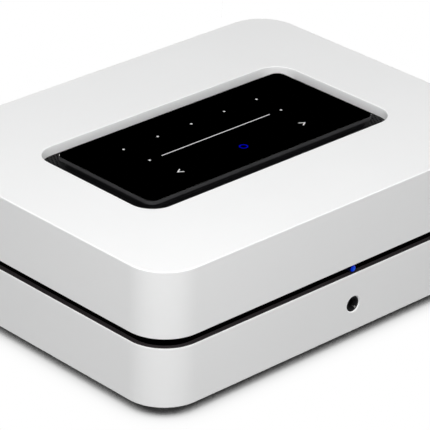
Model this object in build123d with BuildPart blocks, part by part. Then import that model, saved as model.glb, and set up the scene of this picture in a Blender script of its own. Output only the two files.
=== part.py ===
from build123d import *
import os

# Streaming amplifier with a touch panel in its top, in millimetres.
# X runs to the right, Y to the back and Z up. The floor under the feet is Z = 0,
# and the origin is the middle of the floor area that the whole object covers.

os.makedirs("parts", exist_ok=True)

# Case: two shells with a black frame in the gap between them
case_width = 220.0
case_depth = 171.0
lower_height = 27.4
waist_gap = 4.4
upper_height = 30.5
corner_radius = 19.0
edge_radius = 0.5
lip_radius = 0.25
wall = 2.5
top_thickness = 3.0
floor_thickness = 2.5
foot_height = 5.0
foot_radius = 8.0
foot_sink = 1.0
foot_chamfer = 0.8
foot_inset = 32.0
fit = 0.2
sliding_fit = 0.05

# Waist frame: a ledge just under the lower shell's rim and an upright wall
rim = 0.6
ledge_drop = 0.2
ledge_thickness = 1.4
gap_reach = 3.3
frame_wall = 2.0
frame_rise = 6.0
ear_size = 20.0

# Screws of the case: they run up through the lower shell and the frame into the upper shell
boss_radius = 5.0
boss_inset = 18.0
screw_sink = 10.0
screw_radius = 1.5
screw_head_radius = 2.75
screw_head_height = 2.0
screw_drive_radius = 1.4
screw_drive_depth = 1.1
case_screw_length = 34.0
small_screw_radius = 1.25
small_head_radius = 2.3
small_head_height = 1.4

# Recess in the top, with the touch panel standing in it
recess_side = 36.4
recess_end = 47.3
recess_radius = 11.2
recess_drop = 4.5
recess_lip = 0.3
skirt = 2.0
glass_side_gap = 7.0
glass_end_gap = 7.15
glass_radius = 4.5
glass_thickness = 1.4
glass_edge = 0.2
mask_thickness = 0.4
carrier_setback = 2.0
carrier_wall = 2.0
pocket_radius = 2.2
carrier_flange = 2.0
carrier_rim = 8.0
pocket_depth = 3.4
spoke = 4.0
spoke_count = 3
mesh_thickness = 0.8
mesh_pitch = 3.6
mesh_hole_radius = 1.2
mesh_margin = 0.5
touch_board_thickness = 1.2
led_size = 2.0
led_height = 0.8
carrier_boss_radius = 2.9
carrier_boss_reach = 5.0
carrier_boss_inset = 13.2
carrier_screw_length = 4.5
cable_width = 10.0
cable_thickness = 0.3
cable_bend = 4.0
cable_shift = 6.0

# Marks that show through the glass, measured from the panel's middle
mark_fit = 0.02
dot_radius = 0.55
dot_pitch = 19.8
dot_count = 5
dot_shift = -0.8
dot_row = 16.0
volume_row = 0.6
volume_line = 64.4
volume_line_width = 0.45
volume_dot_spread = 78.2
chevron_spread = 76.6
chevron_row = -15.8
chevron_length = 3.0
chevron_half_width = 1.8
chevron_point = 1.0
chevron_end = 0.6
ring_radius = 1.95
ring_stroke = 0.4
ring_shift = 0.65

# Front of the lower shell
jack_height = 12.9
jack_nose_radius = 3.5
jack_setback = 0.5
jack_bore_radius = 1.8
jack_bore_depth = 14.5
jack_width = 12.0
jack_body_height = 10.0
sleeve_radius = 2.6
sleeve_setback = 1.5
sleeve_length = 5.0
jack_bevel = 0.4
front_board_reach = 16.0
front_board_width = 32.0
front_board_rise = 3.0
lamp_width = 3.3
lamp_round = 1.45
lamp_setback = 0.3
lamp_led_depth = 1.5
receiver_place = 9.0
receiver_width = 5.0
receiver_depth = 3.0
receiver_lens_radius = 1.7
receiver_lens_depth = 1.5

# Boards: places on the main board are from its front left corner, and on the power board
# from the middle of its front edge
board_thickness = 1.6
standoff_height = 8.0
standoff_radius = 2.75
standoff_sink = 1.5
board_gap = 0.5
board_side_margin = 24.0
board_front_clear = 38.5
board_split = 6.0
power_board_width = 46.0
hole_inset = 5.0
rear_hole_inset = 26.0
board_screw_length = 6.0
shield_place = (26.0, 34.5)
shield_size = (34.0, 26.0, 4.0)
shield_edge = 0.4
module_place = (20.0, 12.5)
module_size = (24.0, 15.0, 2.8)
antenna_size = (0.8, 36.0, 8.0)
antenna_rise = 13.2
antenna_lead_radius = 0.6
antenna_lead_bend = 15.0
antenna_lead_spread = 12.0
chip_size = (14.0, 14.0, 3.0)
chip_margin = 26.0
heat_sink_row = 60.5
heat_sink_margin = 5.0
heat_sink_clear = 54.0
heat_sink_depth = 40.0
heat_sink_base = 4.0
fin_count = 9
fin_thickness = 1.6
fin_height = 16.0
heat_sink_leg = 4.0
choke_pitch = 14.0
choke_count = 4
choke_row = 94.5
choke_radius = 5.5
choke_core_radius = 3.5
choke_height = 9.0
choke_flange = 1.5
capacitor_radius = 8.5
capacitor_height = 28.0
capacitor_pitch = 19.0
capacitor_place = (10.0, 22.5)
capacitor_edge = 0.8
transformer_place = (-1.0, 66.5)
transformer_size = (30.0, 26.0, 25.0)
transformer_yoke = 5.0
winding_radius = 11.0
fuse_place = (-3.0, 94.5)
fuse_length = 20.0
fuse_radius = 2.5
fuse_cap_radius = 2.7
fuse_cap_length = 5.0
fuse_seat = 0.1
lead_radius = 2.2
lead_row = 22.5
lead_rise = 12.0
lead_bend = 8.0
lead_reach = 8.0
plug_size = (7.0, 8.0, 7.0)

# Rear panel and what stands in it
panel_inset = 20.0
panel_thickness = 1.5
notch_inset = 26.0
notch_margin = 1.5
notch_radius = 4.0
panel_screw_inset = 31.0
panel_screw_length = 6.0
panel_screw_margin = 0.3
block_width = 7.0
block_depth = 8.0
upper_block_height = 9.0
socket_proud = 0.5
vent_slot = 2.2
vent_pitch = 6.0
rear_vent_rise = 11.2
rear_vent_length = 14.0
rear_vent_margin = 9.0
floor_vent_length = 32.0
main_vent_count = 9
power_vent_count = 4
network_size = (16.0, 21.0, 13.5)
network_mouth = (11.9, 6.6)
network_latch = (6.2, 2.2)
network_depth = 14.0
network_floor = 2.4
usb_size = (14.4, 14.0, 7.0)
usb_mouth = (12.5, 5.1)
usb_tongue = (11.0, 1.8)
usb_tongue_rise = 0.75
usb_depth = 10.0
hdmi_size = (15.2, 12.0, 6.4)
hdmi_mouth = (14.0, 4.6)
hdmi_tongue = (11.2, 1.4)
hdmi_depth = 8.5
hdmi_chamfer = 1.2
tongue_setback = 1.0
optical_size = (10.4, 13.5, 10.4)
optical_mouth = 8.4
optical_depth = 10.0
shutter_thickness = 0.8
shutter_fit = 0.2
shutter_setback = 0.6
shutter_hinge_drop = 0.8
trunnion_radius = 0.5
trunnion_length = 0.7
line_size = (8.0, 12.0, 6.6)
line_nose_radius = 3.0
line_bore_radius = 1.8
line_bore_depth = 11.0
subwoofer_size = (10.0, 11.0, 13.0)
subwoofer_radius = 4.15
subwoofer_length = 8.8
subwoofer_bore_radius = 1.65
subwoofer_bore_depth = 8.0
subwoofer_collar = 0.8
subwoofer_collar_radius = 5.6
reset_radius = 1.4
reset_travel = 0.8
reset_proud = 0.4
reset_flange_radius = 2.2
reset_flange = 0.8
reset_stem_radius = 0.95
reset_engagement = 1.2
reset_height = 3.0
switch_size = (6.0, 5.0, 6.0)
inlet_shift = 1.0
inlet_size = (24.0, 22.0, 17.0)
inlet_flange = 1.5
inlet_flange_reach = 1.8
inlet_lobe_radius = 4.1
inlet_waist = 7.0
inlet_depth = 12.0
pin_pitch = 8.6
pin_radius = 1.2
pin_length = 10.0
pin_tip = 0.6

# Speaker terminals
terminal_count = 4
terminal_pitch = 19.05
terminal_side = 80.0
terminal_rise = 9.2
terminal_reach = 19.0
terminal_block_margin = 12.0
terminal_block_height = 20.0
terminal_block_thickness = 4.0
terminal_block_radius = 3.0
collar_radius = 5.0
stud_radius = 3.0
stud_flange_radius = 4.8
stud_flange = 1.0
stud_tail = 4.0
banana_radius = 2.0
banana_depth = 11.5
wire_hole_radius = 1.1
wire_hole_reach = 1.4
washer_radius = 5.6
washer_thickness = 1.0
nut_gap = 0.2
nut_radius = 6.5
nut_cap = 1.5
nut_mouth_radius = 2.5
nut_flute_radius = 1.0
nut_flute_count = 14
nut_collar = 2.5
nut_edge = 0.5
speaker_board_height = 18.0
speaker_board_margin = 3.0

# Levels and faces that follow from the sizes above
total_depth = case_depth + terminal_reach
front_y = -total_depth / 2
rear_y = front_y + case_depth
case_y = (front_y + rear_y) / 2
lower_z = foot_height
rim_z = lower_z + lower_height
upper_z = rim_z + waist_gap
top_z = upper_z + upper_height
floor_z = lower_z + floor_thickness
ceiling_z = top_z - top_thickness
ledge_z = rim_z - ledge_drop
seat_z = ledge_z - ledge_thickness
frame_top_z = upper_z + frame_rise
side_x = case_width / 2
panel_outer_y = rear_y - wall
panel_y = panel_outer_y - panel_thickness
notch_low_z = floor_z + notch_margin
notch_high_z = ceiling_z - notch_margin
board_z = floor_z + standoff_height
deck_z = board_z + board_thickness
board_rear_y = panel_y - board_gap
board_front_y = front_y + board_front_clear
board_depth = board_rear_y - board_front_y
power_right_x = side_x - board_side_margin
power_left_x = power_right_x - power_board_width
power_middle_x = (power_left_x + power_right_x) / 2
main_left_x = -side_x + board_side_margin
main_right_x = power_left_x - board_split
main_middle_x = (main_left_x + main_right_x) / 2
main_board_width = main_right_x - main_left_x
shield_middle = (main_left_x + shield_place[0], board_front_y + shield_place[1])
module_middle = (main_left_x + module_place[0], board_front_y + module_place[1])
heat_sink_length = main_board_width - heat_sink_clear
heat_sink_x = main_right_x - heat_sink_margin - heat_sink_length / 2
heat_sink_y = board_front_y + heat_sink_row
chip_spread = heat_sink_length - chip_margin
choke_y = board_front_y + choke_row
capacitor_middle = (power_middle_x + capacitor_place[0], board_front_y + capacitor_place[1])
transformer_middle = (power_middle_x + transformer_place[0], board_front_y + transformer_place[1])
fuse_middle = (power_middle_x + fuse_place[0], board_front_y + fuse_place[1])
lead_y = board_front_y + lead_row
antenna_z = upper_z + antenna_rise
panel_width = case_width - 2 * panel_inset
notch_width = case_width - 2 * notch_inset
panel_screw_spread = case_width - 2 * panel_screw_inset
inlet_place = power_middle_x + inlet_shift
terminal_middle_x = -side_x + terminal_side
terminal_z = upper_z + terminal_rise
block_length = terminal_pitch * (terminal_count - 1) + 2 * terminal_block_margin
rear_vent_low_x = terminal_middle_x + block_length / 2 + rear_vent_margin
rear_vent_high_x = notch_width / 2 - rear_vent_margin
rear_vent_x = (rear_vent_low_x + rear_vent_high_x) / 2
rear_vent_count = int((rear_vent_high_x - rear_vent_low_x) / vent_pitch)
rear_vent_z = upper_z + rear_vent_rise
front_board_y = front_y + front_board_reach
front_board_back_y = front_board_y + board_thickness
socket_y = panel_outer_y + socket_proud
recess_width = case_width - 2 * recess_side
recess_depth = case_depth - 2 * recess_end
glass_width = recess_width - 2 * glass_side_gap
glass_depth = recess_depth - 2 * glass_end_gap
mesh_z = top_z - recess_drop
flange_top_z = mesh_z - mesh_thickness
flange_z = flange_top_z - carrier_flange
glass_z = top_z - glass_thickness
mask_z = glass_z - mask_thickness
pocket_z = mask_z - pocket_depth
carrier_width = glass_width - 2 * carrier_setback
carrier_depth = glass_depth - 2 * carrier_setback
pocket_width = carrier_width - 2 * carrier_wall
pocket_size_y = carrier_depth - 2 * carrier_wall
guide_z = pocket_z + touch_board_thickness + led_height
lamp_z = (rim_z + upper_z) / 2
jack_z = lower_z + jack_height

# Sockets of the main board, left to right with equal gaps along its rear edge
socket_widths = (
    network_size[0],
    usb_size[0],
    hdmi_size[0],
    optical_size[0],
    line_size[0],
    subwoofer_size[0],
    switch_size[0],
)
socket_gap = (main_board_width - sum(socket_widths)) / (len(socket_widths) + 1)
socket_places = [
    main_left_x + sum(socket_widths[:index]) + width / 2 + (index + 1) * socket_gap
    for index, width in enumerate(socket_widths)
]
network_place, usb_place, hdmi_place, optical_place, line_place, subwoofer_place, reset_place = socket_places


def slab(x, y, low_z, size_x, size_y, size_z, radius=0.0, mode=Mode.ADD):
    """Extrude a rectangle upwards, with rounded corners where a radius is given."""
    with BuildSketch(Plane.XY.offset(low_z)) as profile:
        with Locations((x, y)):
            if radius > 0:
                RectangleRounded(size_x, size_y, radius)
            else:
                Rectangle(size_x, size_y)
    extrude(profile.sketch, amount=size_z, mode=mode)


def post(x, y, low_z, radius, size_z, mode=Mode.ADD):
    """Extrude a circle upwards."""
    with BuildSketch(Plane.XY.offset(low_z)) as profile:
        with Locations((x, y)):
            Circle(radius)
    extrude(profile.sketch, amount=size_z, mode=mode)


def back_slab(x, z, low_y, size_x, size_z, size_y, radius=0.0, mode=Mode.ADD):
    """Extrude an upright rectangle towards the back."""
    with BuildSketch(Plane.XZ.offset(-low_y)) as profile:
        with Locations((x, z)):
            if radius > 0:
                RectangleRounded(size_x, size_z, radius)
            else:
                Rectangle(size_x, size_z)
    extrude(profile.sketch, amount=-size_y, mode=mode)


def back_post(x, z, low_y, radius, size_y, mode=Mode.ADD):
    """Extrude an upright circle towards the back."""
    with BuildSketch(Plane.XZ.offset(-low_y)) as profile:
        with Locations((x, z)):
            Circle(radius)
    extrude(profile.sketch, amount=-size_y, mode=mode)


def case_slab(inset, low_z, high_z, mode=Mode.ADD):
    """Extrude the case's outline, drawn in by inset, between two heights."""
    width = case_width - 2 * inset
    depth = case_depth - 2 * inset
    slab(0, case_y, low_z, width, depth, high_z - low_z, corner_radius - inset, mode)


def notch(low_y, size_y, mode):
    """Cut the opening in the back that the rear panel closes."""
    middle_z = (notch_low_z + notch_high_z) / 2
    back_slab(0, middle_z, low_y, notch_width, notch_high_z - notch_low_z, size_y, notch_radius, mode)


def screw(plane, radius, length, head_radius, head_height):
    """Add a screw: its head seats on the plane, and its shank runs along the plane's normal."""
    with BuildSketch(plane) as shank:
        Circle(radius)
    extrude(shank.sketch, amount=length)
    with BuildSketch(plane) as head:
        Circle(head_radius)
    extrude(head.sketch, amount=-head_height)
    with BuildSketch(plane.offset(-head_height)) as drive:
        RegularPolygon(screw_drive_radius, 6)
    extrude(drive.sketch, amount=screw_drive_depth, mode=Mode.SUBTRACT)


def corners(spread_x, spread_y, middle_y):
    """Return the four corners of a rectangle round (0, middle_y)."""
    return [
        (side * spread_x / 2, middle_y + end * spread_y / 2)
        for side in (-1, 1)
        for end in (-1, 1)
    ]


def row(middle, pitch, count):
    """Return evenly spaced places round a middle."""
    return [middle + (index - (count - 1) / 2) * pitch for index in range(count)]


boss_places = corners(case_width - 2 * boss_inset, case_depth - 2 * boss_inset, case_y)
foot_places = corners(case_width - 2 * foot_inset, case_depth - 2 * foot_inset, case_y)
hole_rows = (board_front_y + hole_inset, board_rear_y - rear_hole_inset)
hole_columns = (
    main_left_x + hole_inset,
    main_right_x - hole_inset,
    power_left_x + hole_inset,
    power_right_x - hole_inset,
)
main_hole_places = [(x, y) for x in hole_columns[:2] for y in hole_rows]
power_hole_places = [(x, y) for x in hole_columns[2:] for y in hole_rows]
standoff_places = main_hole_places + power_hole_places
panel_screw_columns = (-panel_screw_spread / 2, panel_screw_spread / 2)
panel_screw_low_z = notch_low_z + screw_head_radius + panel_screw_margin
panel_screw_high_z = notch_high_z - screw_head_radius - panel_screw_margin
panel_screw_places = [(x, z) for x in panel_screw_columns for z in (panel_screw_low_z, panel_screw_high_z)]
carrier_boss_x = recess_width / 2 + carrier_boss_reach
carrier_boss_y = recess_depth / 2 + carrier_boss_reach
carrier_screw_places = corners(2 * carrier_boss_x, recess_depth - 2 * carrier_boss_inset, case_y)
carrier_screw_places += [(0, case_y - carrier_boss_y), (0, case_y + carrier_boss_y)]
terminal_places = row(terminal_middle_x, terminal_pitch, terminal_count)
pieces = {}

# Lower shell
with BuildPart() as bottom_shell:
    case_slab(0, lower_z, rim_z)
    fillet(bottom_shell.edges().group_by(Axis.Z)[0], edge_radius)
    fillet(bottom_shell.edges().group_by(Axis.Z)[-1], lip_radius)
    case_slab(wall, floor_z, rim_z, Mode.SUBTRACT)
    case_slab(rim, seat_z, rim_z, Mode.SUBTRACT)
    for x, y in boss_places:
        post(x, y, floor_z, boss_radius, seat_z - floor_z)
        post(x, y, lower_z, screw_head_radius + fit, screw_sink, Mode.SUBTRACT)
        post(x, y, lower_z, screw_radius + fit, seat_z - lower_z, Mode.SUBTRACT)
    for x, y in foot_places:
        post(x, y, lower_z, foot_radius + sliding_fit, foot_sink, Mode.SUBTRACT)
    for x, y in standoff_places:
        post(x, y, floor_z - standoff_sink, small_screw_radius + sliding_fit, standoff_sink, Mode.SUBTRACT)
    with BuildSketch(Plane.XY.offset(lower_z)) as floor_slots:
        vent_columns = row(main_middle_x, vent_pitch, main_vent_count)
        vent_columns += row(power_middle_x, vent_pitch, power_vent_count)
        with Locations(*[(x, case_y) for x in vent_columns]):
            SlotOverall(floor_vent_length, vent_slot, rotation=90)
    extrude(floor_slots.sketch, amount=floor_thickness, mode=Mode.SUBTRACT)
    for x in panel_screw_columns:
        slab(x, panel_y - block_depth / 2, floor_z, block_width, block_depth, standoff_height - fit)
        back_post(
            x,
            panel_screw_low_z,
            panel_outer_y - panel_screw_length,
            screw_radius + sliding_fit,
            panel_screw_length,
            Mode.SUBTRACT,
        )
    notch(panel_outer_y, wall, Mode.SUBTRACT)
    back_post(0, jack_z, front_y, jack_nose_radius + sliding_fit, wall, Mode.SUBTRACT)
    mouth = bottom_shell.edges().filter_by(GeomType.CIRCLE).filter_by_position(Axis.Y, front_y, front_y)
    chamfer(mouth, jack_bevel)
pieces["bottom_shell"] = bottom_shell

# Upper shell
with BuildPart() as top_shell:
    case_slab(0, upper_z, top_z)
    fillet(top_shell.edges().group_by(Axis.Z)[-1], edge_radius)
    fillet(top_shell.edges().group_by(Axis.Z)[0], lip_radius)
    case_slab(wall, upper_z, ceiling_z, Mode.SUBTRACT)
    slab(
        0,
        case_y,
        mesh_z,
        recess_width + 2 * skirt,
        recess_depth + 2 * skirt,
        ceiling_z - mesh_z,
        recess_radius + skirt,
    )
    for x, y in carrier_screw_places:
        post(x, y, flange_top_z, carrier_boss_radius, ceiling_z - flange_top_z)
    slab(0, case_y, mesh_z, recess_width, recess_depth, recess_drop, recess_radius, Mode.SUBTRACT)
    inner_edges = top_shell.edges().filter_by_position(Axis.Z, top_z, top_z)
    inner_edges = inner_edges.filter_by_position(Axis.X, -recess_width / 2, recess_width / 2)
    inner_edges = inner_edges.filter_by_position(Axis.Y, case_y - recess_depth / 2, case_y + recess_depth / 2)
    fillet(inner_edges, recess_lip)
    for x, y in carrier_screw_places:
        hole_depth = carrier_screw_length - carrier_flange
        post(x, y, flange_top_z, small_screw_radius + sliding_fit, hole_depth, Mode.SUBTRACT)
    for x, y in boss_places:
        post(x, y, frame_top_z, boss_radius, ceiling_z - frame_top_z)
        screw_end_z = lower_z + screw_sink + case_screw_length
        post(x, y, frame_top_z, screw_radius + sliding_fit, screw_end_z - frame_top_z, Mode.SUBTRACT)
    for x in panel_screw_columns:
        slab(
            x,
            panel_y - block_depth / 2,
            ceiling_z - upper_block_height,
            block_width,
            block_depth,
            upper_block_height,
        )
        back_post(
            x,
            panel_screw_high_z,
            panel_outer_y - panel_screw_length,
            screw_radius + sliding_fit,
            panel_screw_length,
            Mode.SUBTRACT,
        )
    notch(panel_outer_y, wall, Mode.SUBTRACT)
pieces["top_shell"] = top_shell

# Waist frame: ledge, upright wall and four ears that carry the upper shell
with BuildPart() as waist_frame:
    case_slab(rim + fit / 2, seat_z, ledge_z)
    case_slab(gap_reach, seat_z, frame_top_z)
    case_slab(gap_reach + frame_wall, seat_z, frame_top_z, Mode.SUBTRACT)
    with BuildSketch(Plane.XY.offset(seat_z)) as ears:
        with Locations(*boss_places):
            Rectangle(ear_size, ear_size)
        with Locations((0, case_y)):
            RectangleRounded(
                case_width - 2 * gap_reach,
                case_depth - 2 * gap_reach,
                corner_radius - gap_reach,
                mode=Mode.INTERSECT,
            )
    extrude(ears.sketch, amount=ledge_thickness)
    for x, y in boss_places:
        post(x, y, seat_z, boss_radius, frame_top_z - seat_z)
        post(x, y, seat_z, screw_radius + fit, frame_top_z - seat_z, Mode.SUBTRACT)
    break_depth = wall + panel_thickness + frame_wall + board_gap
    slab(
        0,
        rear_y - break_depth / 2,
        seat_z,
        panel_width + 2 * fit,
        break_depth,
        frame_top_z - seat_z,
        0,
        Mode.SUBTRACT,
    )
    back_slab(
        0,
        lamp_z,
        front_y,
        lamp_width + 2 * sliding_fit,
        waist_gap + 2 * sliding_fit,
        gap_reach + frame_wall,
        0,
        Mode.SUBTRACT,
    )
pieces["waist_frame"] = waist_frame

# Feet, glued into round hollows under the lower shell
with BuildPart() as feet:
    for x, y in foot_places:
        post(x, y, 0, foot_radius, foot_height + foot_sink)
    chamfer(feet.edges().group_by(Axis.Z)[0], foot_chamfer)
pieces["feet"] = feet

# Screws of the case, with their heads sunk in the lower shell's bosses
with BuildPart() as case_screws:
    for x, y in boss_places:
        seat = Plane((x, y, lower_z + screw_sink))
        screw(seat, screw_radius, case_screw_length, screw_head_radius, screw_head_height)
pieces["case_screws"] = case_screws

# Carrier of the touch panel, hung under the upper shell, with open air ways round its middle
with BuildPart() as glass_carrier:
    slab(
        0,
        case_y,
        flange_z,
        recess_width + 2 * carrier_rim,
        recess_depth + 2 * carrier_rim,
        carrier_flange,
        recess_radius,
    )
    with BuildSketch(Plane.XY.offset(flange_z)) as air_ways:
        with Locations((0, case_y)):
            RectangleRounded(recess_width - 2 * skirt, recess_depth - 2 * skirt, recess_radius - skirt)
            RectangleRounded(carrier_width, carrier_depth, glass_radius, mode=Mode.SUBTRACT)
            Rectangle(recess_width, spoke, mode=Mode.SUBTRACT)
        with Locations(*[(x, case_y) for x in row(0, recess_width / (spoke_count + 1), spoke_count)]):
            Rectangle(spoke, recess_depth, mode=Mode.SUBTRACT)
    extrude(air_ways.sketch, amount=carrier_flange, mode=Mode.SUBTRACT)
    slab(0, case_y, flange_z, carrier_width, carrier_depth, mask_z - flange_z, glass_radius)
    slab(0, case_y, pocket_z, pocket_width, pocket_size_y, pocket_depth, pocket_radius, Mode.SUBTRACT)
    cable_y = case_y - pocket_size_y / 2 + cable_shift
    slot_width = cable_thickness + 2 * fit
    slab(0, cable_y, flange_z, cable_width + 2 * fit, slot_width, pocket_z - flange_z, 0, Mode.SUBTRACT)
    for x, y in carrier_screw_places:
        post(x, y, flange_z, small_screw_radius + fit, carrier_flange, Mode.SUBTRACT)
pieces["glass_carrier"] = glass_carrier

# Screws of the carrier
with BuildPart() as carrier_screws:
    for x, y in carrier_screw_places:
        seat = Plane((x, y, flange_z))
        screw(seat, small_screw_radius, carrier_screw_length, small_head_radius, small_head_height)
pieces["carrier_screws"] = carrier_screws

# Perforated plate round the carrier, clamped between its flange and the recess
mesh_inner_x = carrier_width / 2 + fit + mesh_margin + mesh_hole_radius
mesh_inner_y = carrier_depth / 2 + fit + mesh_margin + mesh_hole_radius
mesh_outer_x = recess_width / 2 - mesh_hole_radius
mesh_outer_y = recess_depth / 2 - mesh_hole_radius
corner_x = recess_width / 2 - recess_radius
corner_y = recess_depth / 2 - recess_radius


def in_recess(x, y):
    """Tell whether a hole at (x, y) from the middle lies in the ring that shows."""
    inside = abs(x) <= mesh_outer_x and abs(y) <= mesh_outer_y
    clear = abs(x) >= mesh_inner_x or abs(y) >= mesh_inner_y
    past_x = max(abs(x) - corner_x, 0)
    past_y = max(abs(y) - corner_y, 0)
    rounded = (past_x**2 + past_y**2) ** 0.5 <= recess_radius - mesh_hole_radius
    return inside and clear and rounded


mesh_columns = row(0, mesh_pitch, int(recess_width / mesh_pitch))
mesh_rows = row(0, mesh_pitch, int(recess_depth / mesh_pitch))
mesh_holes = [(x, y + case_y) for x in mesh_columns for y in mesh_rows if in_recess(x, y)]
with BuildPart() as vent_mesh:
    with BuildSketch(Plane.XY.offset(flange_top_z)) as sheet:
        with Locations((0, case_y)):
            RectangleRounded(recess_width + 2 * skirt, recess_depth + 2 * skirt, recess_radius + skirt)
            RectangleRounded(
                carrier_width + 2 * fit,
                carrier_depth + 2 * fit,
                glass_radius + fit,
                mode=Mode.SUBTRACT,
            )
        with Locations(*mesh_holes):
            Circle(mesh_hole_radius, mode=Mode.SUBTRACT)
    extrude(sheet.sketch, amount=mesh_thickness)
pieces["vent_mesh"] = vent_mesh
print("mesh holes", len(mesh_holes))

# Touch board with its indicator lights, in the carrier's pocket
with BuildPart() as touch_board:
    slab(
        0,
        case_y,
        pocket_z,
        pocket_width - 2 * fit,
        pocket_size_y - 2 * fit,
        touch_board_thickness,
        pocket_radius,
    )
pieces["touch_board"] = touch_board

dot_places = [(x, case_y + dot_row) for x in row(dot_shift, dot_pitch, dot_count)]
volume_dot_places = [(side * volume_dot_spread / 2, case_y + volume_row) for side in (-1, 1)]
chevron_places = [(side * chevron_spread / 2, case_y + chevron_row) for side in (-1, 1)]
ring_place = (ring_shift, case_y + chevron_row)
with BuildPart() as indicator_leds:
    led_places = dot_places + volume_dot_places + chevron_places + [ring_place, (0, case_y + volume_row)]
    for x, y in led_places:
        slab(x, y, pocket_z + touch_board_thickness, led_size, led_size, led_height)
    back_slab(
        0,
        lamp_z,
        front_board_y - lamp_led_depth,
        led_size,
        led_size,
        lamp_led_depth,
    )
pieces["indicator_leds"] = indicator_leds

# Light guide that spreads the lights under the marks
with BuildPart() as light_guide:
    slab(
        0,
        case_y,
        guide_z,
        pocket_width - 2 * fit,
        pocket_size_y - 2 * fit,
        mask_z - guide_z,
        pocket_radius,
    )
pieces["light_guide"] = light_guide


def marks(grow):
    """Draw the dots, the volume line and the chevrons, each larger all round by grow."""
    with BuildSketch(Plane.XY.offset(mask_z)) as drawn:
        with Locations(*dot_places, *volume_dot_places):
            Circle(dot_radius)
        with Locations((0, case_y + volume_row)):
            Rectangle(volume_line, volume_line_width)
        for side in (-1, 1):
            tip = side * chevron_spread / 2
            middle_y = case_y + chevron_row
            with BuildLine():
                Polyline(
                    (tip, middle_y),
                    (tip - side * chevron_length, middle_y + chevron_half_width),
                    (tip - side * chevron_length, middle_y + chevron_half_width - chevron_end),
                    (tip - side * chevron_point, middle_y),
                    (tip - side * chevron_length, middle_y - chevron_half_width + chevron_end),
                    (tip - side * chevron_length, middle_y - chevron_half_width),
                    close=True,
                )
            make_face()
        if grow > 0:
            offset(amount=grow, kind=Kind.INTERSECTION)
    return drawn.sketch


def ring(grow):
    """Draw the ring mark, wider on both sides by grow."""
    with BuildSketch(Plane.XY.offset(mask_z)) as drawn:
        with Locations(ring_place):
            Circle(ring_radius + grow)
            Circle(ring_radius - ring_stroke - grow, mode=Mode.SUBTRACT)
    return drawn.sketch


# Black mask under the glass, open where the marks are
with BuildPart() as mask_sheet:
    slab(0, case_y, mask_z, glass_width, glass_depth, mask_thickness, glass_radius)
    extrude(marks(mark_fit), amount=mask_thickness, mode=Mode.SUBTRACT)
    extrude(ring(mark_fit), amount=mask_thickness, mode=Mode.SUBTRACT)
with BuildPart() as white_marks:
    extrude(marks(0), amount=mask_thickness)
with BuildPart() as ring_mark:
    extrude(ring(0), amount=mask_thickness)
pieces["white_marks"] = white_marks
pieces["ring_mark"] = ring_mark
pieces["mask_sheet"] = mask_sheet

# Clear cover glass, flush with the top of the case
with BuildPart() as touch_glass:
    slab(0, case_y, glass_z, glass_width, glass_depth, glass_thickness, glass_radius)
    chamfer(touch_glass.edges().group_by(Axis.Z)[-1], glass_edge)
pieces["touch_glass"] = touch_glass

# Flat cable from the touch board down to the main board
with BuildPart() as touch_cable:
    cable_kink_z = (pocket_z + deck_z) / 2
    with BuildLine() as cable_route:
        FilletPolyline(
            (0, cable_y, pocket_z),
            (0, cable_y, cable_kink_z + cable_shift),
            (0, cable_y - cable_shift, cable_kink_z - cable_shift),
            (0, cable_y - cable_shift, deck_z),
            radius=cable_bend,
        )
    with BuildSketch(Plane((0, cable_y, pocket_z), x_dir=(1, 0, 0), z_dir=(0, 0, -1))) as cable_section:
        Rectangle(cable_width, cable_thickness)
    sweep(cable_section.sketch, path=cable_route.line)
pieces["touch_cable"] = touch_cable

# Headphone socket behind the front wall, with a metal sleeve in its mouth
jack_body_y = front_y + wall
with BuildPart() as headphone_jack:
    back_slab(0, jack_z, jack_body_y, jack_width, jack_body_height, front_board_y - jack_body_y)
    back_post(0, jack_z, front_y + jack_setback, jack_nose_radius, wall - jack_setback)
    sleeve_end = jack_setback + sleeve_setback + sleeve_length
    back_post(0, jack_z, front_y, sleeve_radius + sliding_fit, sleeve_end, Mode.SUBTRACT)
    back_post(0, jack_z, front_y, jack_bore_radius, jack_bore_depth, Mode.SUBTRACT)
with BuildPart() as headphone_sleeve:
    sleeve_y = front_y + jack_setback + sleeve_setback
    back_post(0, jack_z, sleeve_y, sleeve_radius, sleeve_length)
    back_post(0, jack_z, sleeve_y, jack_bore_radius, sleeve_length, Mode.SUBTRACT)
pieces["headphone_jack"] = headphone_jack
pieces["headphone_sleeve"] = headphone_sleeve

# Front board, standing on the floor behind the socket
with BuildPart() as front_board:
    board_high_z = upper_z + front_board_rise
    back_slab(
        0,
        (floor_z + board_high_z) / 2,
        front_board_y,
        front_board_width,
        board_high_z - floor_z,
        board_thickness,
    )
with BuildPart() as status_lamp:
    lamp_length = front_board_reach - lamp_led_depth - lamp_setback
    back_post(0, lamp_z, front_y + lamp_setback, lamp_width / 2, lamp_length)
    fillet(status_lamp.edges().filter_by(GeomType.CIRCLE).sort_by(Axis.Y)[0], lamp_round)
with BuildPart() as infrared_receiver:
    receiver_y = front_board_y - receiver_depth
    back_slab(receiver_place, lamp_z, receiver_y, receiver_width, receiver_width, receiver_depth)
    lens_y = receiver_y - receiver_lens_depth
    back_post(receiver_place, lamp_z, lens_y, receiver_lens_radius, receiver_lens_depth)
pieces["front_board"] = front_board
pieces["status_lamp"] = status_lamp
pieces["infrared_receiver"] = infrared_receiver

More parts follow.
